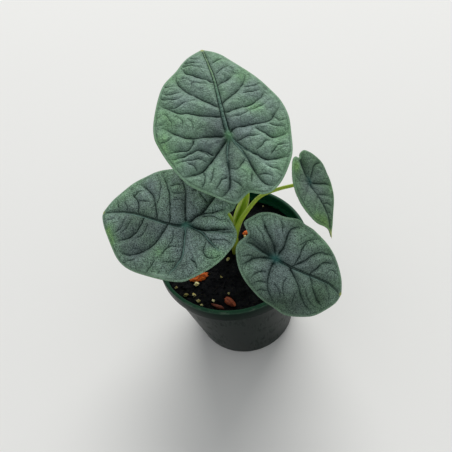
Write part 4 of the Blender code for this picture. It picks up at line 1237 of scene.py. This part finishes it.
def build_stalk(name, leaf, settings, skin):
    """A stalk: a loft whose lower part opens into a winged sheath with a channel."""
    _, tipward, normal = leaf_frame(leaf).to_3x3().col
    open_side = -tipward
    top = Vector(leaf["at"]) - STALK_DEPTH * normal
    foot = Vector(leaf["stem"][0])
    deep = foot - Vector((0.0, 0.0, STEM_HOLE_DEPTH - STEM_END_PLAY))
    above = foot + Vector((0.0, 0.0, STEM_FOOT_RISE))
    route = [deep, foot, above] + leaf["stem"][1:] + [top - STEM_KNEE * normal, top]
    path = smooth_curve(route, settings.ring_step / MM)
    lower, upper = leaf["stem_radius"]
    sheath_start, sheath_end, wing = leaf["sheath"]
    bm = bmesh.new()
    fibre = bm.verts.layers.float_vector.new("fibre")
    channel = bm.verts.layers.float.new("channel")
    flare = bm.verts.layers.float.new("wing")
    rings = []
    run = 0.0
    for k, centre in enumerate(path):
        before, after = path[max(k - 1, 0)], path[min(k + 1, len(path) - 1)]
        run += (centre - before).length
        along = (after - before).normalized()
        if k == len(path) - 1:
            along = normal
        elif centre.z < foot.z:
            along = Vector((0.0, 0.0, 1.0))
        dorsal = (open_side - open_side.dot(along) * along).normalized()
        side = dorsal.cross(along)
        share = k / (len(path) - 1)
        radius = lower + (upper - lower) * min(1.0, STEM_TAPER * share)
        opened = 0.0
        if sheath_start < share < sheath_end:
            part_way = (share - sheath_start) / (sheath_end - sheath_start)
            opened = math.sin(math.pi * part_way ** SHEATH_SKEW)
        ring = []
        for angle in RING_ANGLES:
            off = abs(angle - DORSAL_ANGLE)
            off = min(off, 360.0 - off)
            groove = opened * math.exp(-(off / CHANNEL_SPREAD) ** 2)
            flange = opened * math.exp(-((off - WING_ANGLE) / WING_SPREAD) ** 2)
            crest = math.exp(-((off - WING_ANGLE) / CREST_SPREAD) ** 2)
            reach = radius * (1.0 - CHANNEL_DEPTH * groove) + wing * flange
            turn = math.radians(angle)
            vert = bm.verts.new(centre + reach * (math.cos(turn) * side
                                                  + math.sin(turn) * dorsal))
            vert[fibre] = (radius * math.cos(turn), radius * math.sin(turn),
                           FIBRE_STRETCH * run)
            vert[channel] = groove
            vert[flare] = crest * min(1.0, 2.0 * opened) * min(1.0, wing / FULL_WING)
            ring.append(vert)
        rings.append(ring)
    add_wall(bm, rings)
    bm.faces.new(rings[0])
    bm.faces.new(rings[-1])
    bmesh.ops.recalc_face_normals(bm, faces=bm.faces)
    hand_over(make_piece("stalk_" + name, bm, skin), "leaf_stalk", "petiole_" + name)


def inner_radius(z):
    """The pot's inside radius below the collar, which tapers to the floor."""
    top = RIM_RADIUS - COLLAR_STEP - WALL
    return BASE_RADIUS - WALL + (top - BASE_RADIUS + WALL) * z / (POT_HEIGHT - COLLAR_HEIGHT)


def pot_plastic(settings):
    """Dark green plastic: paler at its thin lip, with faint dried water marks and dust."""
    finish = Finish("pot_plastic_green")
    place = finish.place()
    height = finish.part(place, "Z") / MM
    cloud = finish.grain(place, 60.0, 3.0)
    streak = finish.grain(finish.stretched(place, 1.0, 1.0, 0.08), 700.0, 3.0)
    fine = finish.grain(place, 1800.0, 2.0)
    lip = finish.step(height, POT_HEIGHT - LIP_HEIGHT - 0.4, POT_HEIGHT - 0.4)
    radius = finish.vector("LENGTH", finish.stretched(place, 1.0, 1.0, 0.0),
                           output="Value") / MM
    inner = finish.step(radius, RIM_RADIUS - 0.5 * WALL, RIM_RADIUS - WALL)
    base = finish.mix(finish.step(height, POT_HEIGHT - COLLAR_HEIGHT, POT_HEIGHT),
                      settings.wall, settings.collar)
    # Greener on the inner wall above the collar's foot
    base = finish.mix(inner * (height > POT_HEIGHT - COLLAR_HEIGHT), base, settings.inside)
    base = finish.mix(0.8 * lip + 0.25 * (cloud - 0.5), base, settings.edge)
    marks = finish.step(cloud * 0.6 + streak * 0.5, 0.56, 0.78)
    worn = lip * finish.step(radius, RIM_RADIUS - 1.0, RIM_RADIUS - 0.4)
    nicks = finish.step(finish.grain(place, 330.0, 4.0, 0.7), 0.48, 0.62) * worn
    base = finish.mix(marks * 0.01 + finish.step(fine, 0.68, 0.76) * 0.03 + 0.25 * nicks,
                      base, settings.dust)
    rough = settings.roughness + 0.16 * marks + 0.08 * (fine - 0.5)
    return finish.finish(base, rough, streak * 0.6 + fine * 0.3, 0.02,
                         Specular_IOR_Level=0.05)


def build_pot(settings):
    """The moulded pot: one finely turned profile with round drainage holes in its floor."""
    collar_foot = POT_HEIGHT - COLLAR_HEIGHT
    profile = [
        (0.0, FLOOR),
        (inner_radius(FLOOR) - FLOOR_FILLET, FLOOR),
        (inner_radius(FLOOR + FLOOR_FILLET), FLOOR + FLOOR_FILLET),
        (inner_radius(collar_foot), collar_foot + LEDGE_RISE),
        (RIM_RADIUS - WALL, collar_foot + LEDGE_RISE + EDGE_ROUND),
        (RIM_RADIUS - WALL, POT_HEIGHT - LIP_HEIGHT),
        (RIM_RADIUS - LIP_WIDTH, POT_HEIGHT - LIP_HEIGHT + LIP_UNDERCUT),
        (RIM_RADIUS - LIP_WIDTH, POT_HEIGHT - EDGE_ROUND),
        (RIM_RADIUS - LIP_WIDTH + EDGE_ROUND, POT_HEIGHT),
        (RIM_RADIUS - EDGE_ROUND, POT_HEIGHT),
        (RIM_RADIUS, POT_HEIGHT - EDGE_ROUND),
        (RIM_RADIUS, collar_foot + EDGE_ROUND),
        (RIM_RADIUS - EDGE_ROUND, collar_foot),
        (RIM_RADIUS - COLLAR_STEP, collar_foot),
        (BASE_RADIUS, 2.0 * EDGE_ROUND),
        (BASE_RADIUS - 2.0 * EDGE_ROUND, 0.0),
        (0.0, 0.0),
    ]
    bm = bmesh.new()
    verts = [bm.verts.new((radius, 0.0, z)) for radius, z in profile]
    for start, end in zip(verts, verts[1:]):
        bm.edges.new((start, end))
    pot = add_object("pot_moulded", mesh_of("pot_moulded", bm))
    screw = pot.modifiers.new("Turn", "SCREW")
    screw.steps = screw.render_steps = TURN_STEPS
    screw.use_merge_vertices = True
    screw.merge_threshold = TURN_MERGE
    screw.use_smooth_shade = True
    cutters = []
    for k in range(DRAIN_HOLES):
        angle = math.tau * k / DRAIN_HOLES
        hole = bmesh.new()
        bmesh.ops.create_cone(hole, cap_ends=True, segments=DRAIN_SIDES, radius1=DRAIN_RADIUS,
                              radius2=DRAIN_RADIUS, depth=4.0 * FLOOR)
        bmesh.ops.translate(hole, verts=hole.verts, vec=(
            DRAIN_CIRCLE * math.cos(angle), DRAIN_CIRCLE * math.sin(angle), 0.5 * FLOOR))
        cutters.append(add_object("drain_%d" % k, mesh_of("drain_%d" % k, hole)))
        boolean = pot.modifiers.new("Drain hole", "BOOLEAN")
        boolean.operation = "DIFFERENCE"
        boolean.object = cutters[-1]
    bevel = pot.modifiers.new("Edge round", "BEVEL")
    bevel.width = settings.bevel
    bevel.segments = BEVEL_SEGMENTS
    bevel.limit_method = "ANGLE"
    bevel.angle_limit = math.radians(BEVEL_ANGLE)
    settle(pot)
    for cutter in cutters:
        bpy.data.objects.remove(cutter, do_unlink=True)
    pot.data.set_sharp_from_angle(angle=math.radians(SHARP_ANGLE))
    pot.data.materials.append(pot_plastic(settings))
    hand_over(pot, "pot_plastic", "pot")


def bed_share(x, y, chip):
    """How far out from a chip's middle a point lies, where 1 is the edge of its bed."""
    chip_x, chip_y, turn, size, width = chip[1:6]
    across, ahead = x - chip_x, y - chip_y
    angle = math.radians(turn)
    along = across * math.cos(angle) + ahead * math.sin(angle)
    aside = ahead * math.cos(angle) - across * math.sin(angle)
    return math.hypot(along / (CHIP_BED_SHARE * size + CHIP_BED_PLAY),
                      aside / (CHIP_BED_SHARE * width + CHIP_BED_PLAY))


def soil_height(x, y):
    """Lumpy ground, raised a little under each perlite grain and level under each chip."""
    if any(bed_share(x, y, chip) < 1.0 for chip in CHIPS):
        return SOIL_LEVEL - CHIP_BED
    height = SOIL_LEVEL + SOIL_LUMPS * noise.noise(Vector((x, y, 0.0)) / LUMP_SIZE)
    for grain_x, grain_y, radius, _ in PERLITE:
        away = math.hypot(x - grain_x, y - grain_y) / radius
        if away < 1.0:
            height += GRAIN_SEAT * GRAIN_RISE * radius * math.sqrt(1.0 - away * away)
    return height


def mix_finish(settings):
    """Potting mix: nearly black and moist, with brown flecks and fine pale specks."""
    finish = Finish("potting_mix_dark")
    place = finish.place()
    fleck = finish.grain(place, 650.0, 4.0, 0.7)
    fine = finish.grain(place, 2200.0, 3.0, 0.7)
    base = finish.mix(finish.step(fleck, 0.56, 0.72) * 0.7, settings.dark, settings.brown)
    base = finish.mix(finish.step(fine, 0.68, 0.76) * 0.25, base, settings.perlite_shade)
    rough = 0.95 - 0.3 * finish.step(fleck, 0.3, 0.5)
    return finish.finish(base, rough, fleck + 0.5 * fine, 0.5, Specular_IOR_Level=0.08)


def crumb_rule(name, ground, radius, spread, seed, material):
    """The rule that adds uneven crumbs, strewn over the level parts of the ground."""
    density, sides = spread
    rule = Rule(name, {"Ground": ground, "Radius": radius, "Density": density,
                       "Seed": seed, "Finish": material})
    level = rule.part(rule.node("GeometryNodeInputNormal"), "Z")
    points = rule.node("GeometryNodeDistributePointsOnFaces", None, {
        "Mesh": rule.shape_of("Ground"), "Selection": level > LEVEL_ENOUGH,
        "Density": rule["Density"], "Seed": rule["Seed"]})
    ball = rule.node("GeometryNodeMeshUVSphere", None, {
        "Radius": rule["Radius"], "Segments": sides, "Rings": sides - 2})
    turn = rule.node("FunctionNodeRandomValue", {"data_type": "FLOAT_VECTOR"}, {
        0: (0.0, 0.0, 0.0), 1: CRUMB_TURN, "Seed": rule["Seed"]})
    size = rule.node("FunctionNodeRandomValue", {"data_type": "FLOAT_VECTOR"}, {
        0: CRUMB_LEAST, 1: CRUMB_MOST, "Seed": rule["Seed"] + 1.0})
    crumbs = rule.node("GeometryNodeInstanceOnPoints", None, {
        "Points": points, "Instance": ball, "Rotation": turn, "Scale": size})
    crumbs = rule.node("GeometryNodeRealizeInstances", None, {"Geometry": crumbs})
    shove = rule.node("ShaderNodeTexNoise", None, {
        "Vector": rule.node("GeometryNodeInputPosition"), "Scale": SHOVE_SCALE}, "Color")
    shove = rule.times(rule.vector("SUBTRACT", shove, (0.5, 0.5, 0.5)),
                       rule["Radius"] * CRUMB_SHOVE)
    rule.finish(rule.joined(rule.moved(crumbs, shove), rule["Geometry"]), rule["Finish"])
    return rule


def build_mix(settings):
    """The body of potting mix, with crumbs strewn on it and perlite grains bedded in it."""
    top_radius = inner_radius(SOIL_LEVEL) - GAP
    turns = [math.tau * k / SOIL_RIM_POINTS for k in range(SOIL_RIM_POINTS)]
    rim = [Vector((math.cos(turn), math.sin(turn))) * top_radius for turn in turns]
    bm = bmesh.new()
    bm.from_mesh(flat_sheet("mix_body", rim, settings.spacing / MM))
    # The sheet's first points are those of its rim, in order
    rings = [bm.verts[:SOIL_RIM_POINTS]]
    for vert in bm.verts:
        x, y = vert.co.xy
        if vert.is_boundary:
            vert.co.z = SOIL_LEVEL
        else:
            rough = noise.fractal(Vector((x, y, 3.0)) / ROUGH_SIZE, *FRACTAL)
            vert.co.z = soil_height(x, y) + SOIL_ROUGHNESS * rough
        for leaf in LEAVES.values():
            stem_x, stem_y, _ = leaf["stem"][0]
            hole = leaf["stem_radius"][0] + STEM_HOLE_PLAY
            if math.hypot(x - stem_x, y - stem_y) < hole:
                vert.co.z = SOIL_LEVEL - STEM_HOLE_DIP
    below = [(inner_radius(0.5 * SOIL_LEVEL) - GAP, 0.5 * SOIL_LEVEL),
             (inner_radius(FLOOR + FLOOR_FILLET) - GAP, FLOOR + FLOOR_FILLET + GAP),
             (inner_radius(FLOOR) - FLOOR_FILLET - GAP, FLOOR + GAP)]
    for radius, z in below:
        around = [vert.co.xy.normalized() * radius for vert in rings[-1]]
        rings.append([bm.verts.new((*place, z)) for place in around])
    add_wall(bm, rings)
    bm.faces.new(rings[-1])
    bmesh.ops.recalc_face_normals(bm, faces=bm.faces)
    finish = mix_finish(settings)
    body = make_piece("mix_body", bm, finish)
    crumbs = add_object("mix_crumbs", bpy.data.meshes.new("mix_crumbs"))
    crumb_rule("Large crumbs", body, settings.crumb, LARGE_CRUMBS, settings.seed,
               finish).apply(crumbs)
    crumb_rule("Small crumbs", body, settings.speck, SMALL_CRUMBS, settings.seed + 5,
               finish).apply(crumbs)
    crumbs.data.shade_smooth()
    hand_over(body, "potting_mix", "soil")
    hand_over(crumbs, "potting_mix")
    build_perlite(settings)


def perlite_finish(settings):
    """Perlite: cream and foamy, yellower in patches and stained olive brown."""
    finish = Finish("perlite_cream")
    place = finish.place()
    stain = finish.grain(place, 500.0, 3.0, 0.6)
    foam = finish.cells(place, 2600.0)
    base = finish.mix(finish.step(stain, 0.45, 0.7), settings.perlite, settings.perlite_shade)
    base = finish.mix(finish.clamped(finish.attribute("stain") + 0.8 * (stain - 0.5)), base,
                      settings.perlite_stain)
    return finish.finish(base, 0.85, foam + stain, 0.25)


def build_perlite(settings):
    """The perlite grains, each an uneven foamy lump half bedded in the mix."""
    bm = bmesh.new()
    stained = bm.verts.layers.float.new("stain")
    for x, y, radius, stain in PERLITE:
        ball = bmesh.ops.create_icosphere(bm, subdivisions=GRAIN_FINENESS, radius=1.0)
        for vert in ball["verts"]:
            spot = vert.co + Vector((x, y, 0.0))
            lump = 0.6 * noise.noise(0.9 * spot) + 0.35 * noise.noise(2.3 * spot)
            lump += 0.08 * noise.noise(6.0 * spot)
            grain = vert.co * (GRAIN_CORE + lump) * radius
            vert.co = grain + Vector((x, y, SOIL_LEVEL + GRAIN_SEAT * radius))
            vert[stained] = stain
    hand_over(make_piece("mix_perlite", bm, perlite_finish(settings)), "potting_mix")


def bark_finish(name, settings, redness, age):
    """Bark: mottled orange to red-brown, darker with age, with dark pits."""
    finish = Finish(name)
    place = finish.place()
    tone = finish.grain(place, 260.0, 4.0, 0.6)
    pits = finish.grain(place, 900.0, 3.0, 0.7)
    base = finish.mix(finish.clamped(redness + 1.6 * (tone - 0.5)), settings.orange,
                      settings.red)
    base = finish.mix(age + finish.step(pits, 0.5, 0.66) * (0.85 - age), base, settings.pit)
    return finish.finish(base, 0.7 + 0.2 * tone, tone - pits, 0.4)


def build_chips(settings):
    """The bark chips: uneven lumps with grooved faces, each lying in its bed in the mix."""
    for name, x, y, turn, size, width, height, redness, splinters, age in CHIPS:
        bm = bmesh.new()
        bmesh.ops.create_icosphere(bm, subdivisions=CHIP_FINENESS, radius=1.0)
        for vert in bm.verts:
            rough = 1.0 + CHIP_ROUGHNESS * noise.noise(CHIP_GRAIN * vert.co
                                                       + Vector((x, y, size)))
            rough += splinters * noise.fractal(vert.co * Vector(SPLINTER_GRAIN), *FRACTAL)
            vert.co *= rough
            vert.co.z = max(vert.co.z, CHIP_UNDERSIDE)
            vert.co = Vector((vert.co.x * size, vert.co.y * width, vert.co.z * height)) / 2
        bottom = min(vert.co.z for vert in bm.verts)
        seat = SOIL_LEVEL - CHIP_BED + GAP
        place = Matrix.Translation(Vector((x, y, seat - bottom)))
        place = place @ Matrix.Rotation(math.radians(turn), 4, "Z")
        bmesh.ops.transform(bm, matrix=place, verts=bm.verts)
        finish = bark_finish(name + "_finish", settings, redness, age)
        hand_over(make_piece(name + "_rough", bm, finish), "bark", name)


def build_stage(settings):
    """Plain pale floor, soft studio light and the camera."""
    bm = bmesh.new()
    bmesh.ops.create_grid(bm, x_segments=1, y_segments=1, size=FLOOR_HALF)
    finish = Finish("floor_pale")
    cloud = finish.grain(finish.place(), 1.5, 2.0)
    tone = finish.mix(0.25 * cloud, settings.floor, (*(0.92 * c for c in settings.floor),))
    floor = make_piece("floor", bm, finish.finish(tone, 0.95, Specular_IOR_Level=0.0))

    scene = bpy.context.scene
    scene.view_settings.view_transform = "Standard"
    scene.world = bpy.data.worlds.new("even_light")
    scene.world.use_nodes = True
    background = scene.world.node_tree.nodes["Background"]
    background.inputs["Color"].default_value = SKY_COLOUR
    background.inputs["Strength"].default_value = settings.sky

    light = bpy.data.lights.new("key", "AREA")
    light.shape = "DISK"
    light.size = settings.key_size
    light.energy = settings.key
    light.color = KEY_COLOUR
    key = add_object("key", light)
    key.location = KEY_PLACE
    way = Vector(KEY_TARGET) - Vector(KEY_PLACE)
    key.rotation_euler = way.to_track_quat("-Z", "Y").to_euler()

    lens = bpy.data.cameras.new("camera")
    lens.lens = settings.focal_length
    lens.sensor_width = CAMERA_SENSOR
    lens.clip_start = CAMERA_NEAR
    camera = add_object("camera", lens)
    camera.location = CAMERA_PLACE
    camera.rotation_euler = [math.radians(angle) for angle in CAMERA_TURN]
    scene.camera = camera


class MELO_OT_stage(bpy.types.Operator):
    """Make the floor, the soft light and the camera"""
    bl_idname = "melo.stage"
    bl_label = "Stage"

    def execute(self, context):
        build_stage(context.scene.melo_stage)
        return {"FINISHED"}


class MELO_OT_pot(bpy.types.Operator):
    """Make the moulded pot"""
    bl_idname = "melo.pot"
    bl_label = "Pot"

    def execute(self, context):
        build_pot(context.scene.melo_pot)
        return {"FINISHED"}


class MELO_OT_mix(bpy.types.Operator):
    """Make the potting mix with its crumbs and perlite"""
    bl_idname = "melo.mix"
    bl_label = "Potting mix"

    def execute(self, context):
        build_mix(context.scene.melo_mix)
        return {"FINISHED"}


class MELO_OT_bark(bpy.types.Operator):
    """Make the bark chips"""
    bl_idname = "melo.bark"
    bl_label = "Bark chips"

    def execute(self, context):
        build_chips(context.scene.melo_bark)
        return {"FINISHED"}


class MELO_OT_stalks(bpy.types.Operator):
    """Make the stalks with their sheaths"""
    bl_idname = "melo.stalks"
    bl_label = "Stalks"

    def execute(self, context):
        settings = context.scene.melo_stalk
        skin = stalk_skin(settings)
        for name, leaf in LEAVES.items():
            build_stalk(name, leaf, settings, skin)
        return {"FINISHED"}


class MELO_OT_blades(bpy.types.Operator):
    """Make the quilted blades"""
    bl_idname = "melo.blades"
    bl_label = "Blades"

    def execute(self, context):
        for name, leaf in LEAVES.items():
            build_blade(name, leaf, context.scene.melo_blade)
        return {"FINISHED"}


class MELO_PT_panel(bpy.types.Panel):
    """Lists the steps and their settings"""
    bl_label = "Alocasia Melo"
    bl_idname = "MELO_PT_panel"
    bl_space_type = "VIEW_3D"
    bl_region_type = "UI"
    bl_category = "Alocasia"

    def draw(self, context):
        for name, (_, operator) in STEPS.items():
            box = self.layout.box()
            box.operator(operator.bl_idname)
            settings = getattr(context.scene, name)
            for key in settings.__annotations__:
                box.prop(settings, key)


STEPS = {
    "melo_stage": (StageSettings, MELO_OT_stage), "melo_pot": (PotSettings, MELO_OT_pot),
    "melo_mix": (MixSettings, MELO_OT_mix), "melo_bark": (BarkSettings, MELO_OT_bark),
    "melo_stalk": (StalkSettings, MELO_OT_stalks),
    "melo_blade": (BladeSettings, MELO_OT_blades),
}
CLASSES = [*(cls for step in STEPS.values() for cls in step), MELO_PT_panel]


def register():
    for cls in CLASSES:
        bpy.utils.register_class(cls)
    for name, (group, _) in STEPS.items():
        setattr(bpy.types.Scene, name, bpy.props.PointerProperty(type=group))


def unregister():
    for name in STEPS:
        delattr(bpy.types.Scene, name)
    for cls in reversed(CLASSES):
        bpy.utils.unregister_class(cls)


def main():
    register()
    bpy.ops.melo.stage()
    bpy.ops.melo.pot()
    bpy.ops.melo.mix()
    bpy.ops.melo.bark()
    bpy.ops.melo.stalks()
    bpy.ops.melo.blades()
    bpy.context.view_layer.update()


if __name__ == "__main__":
    main()
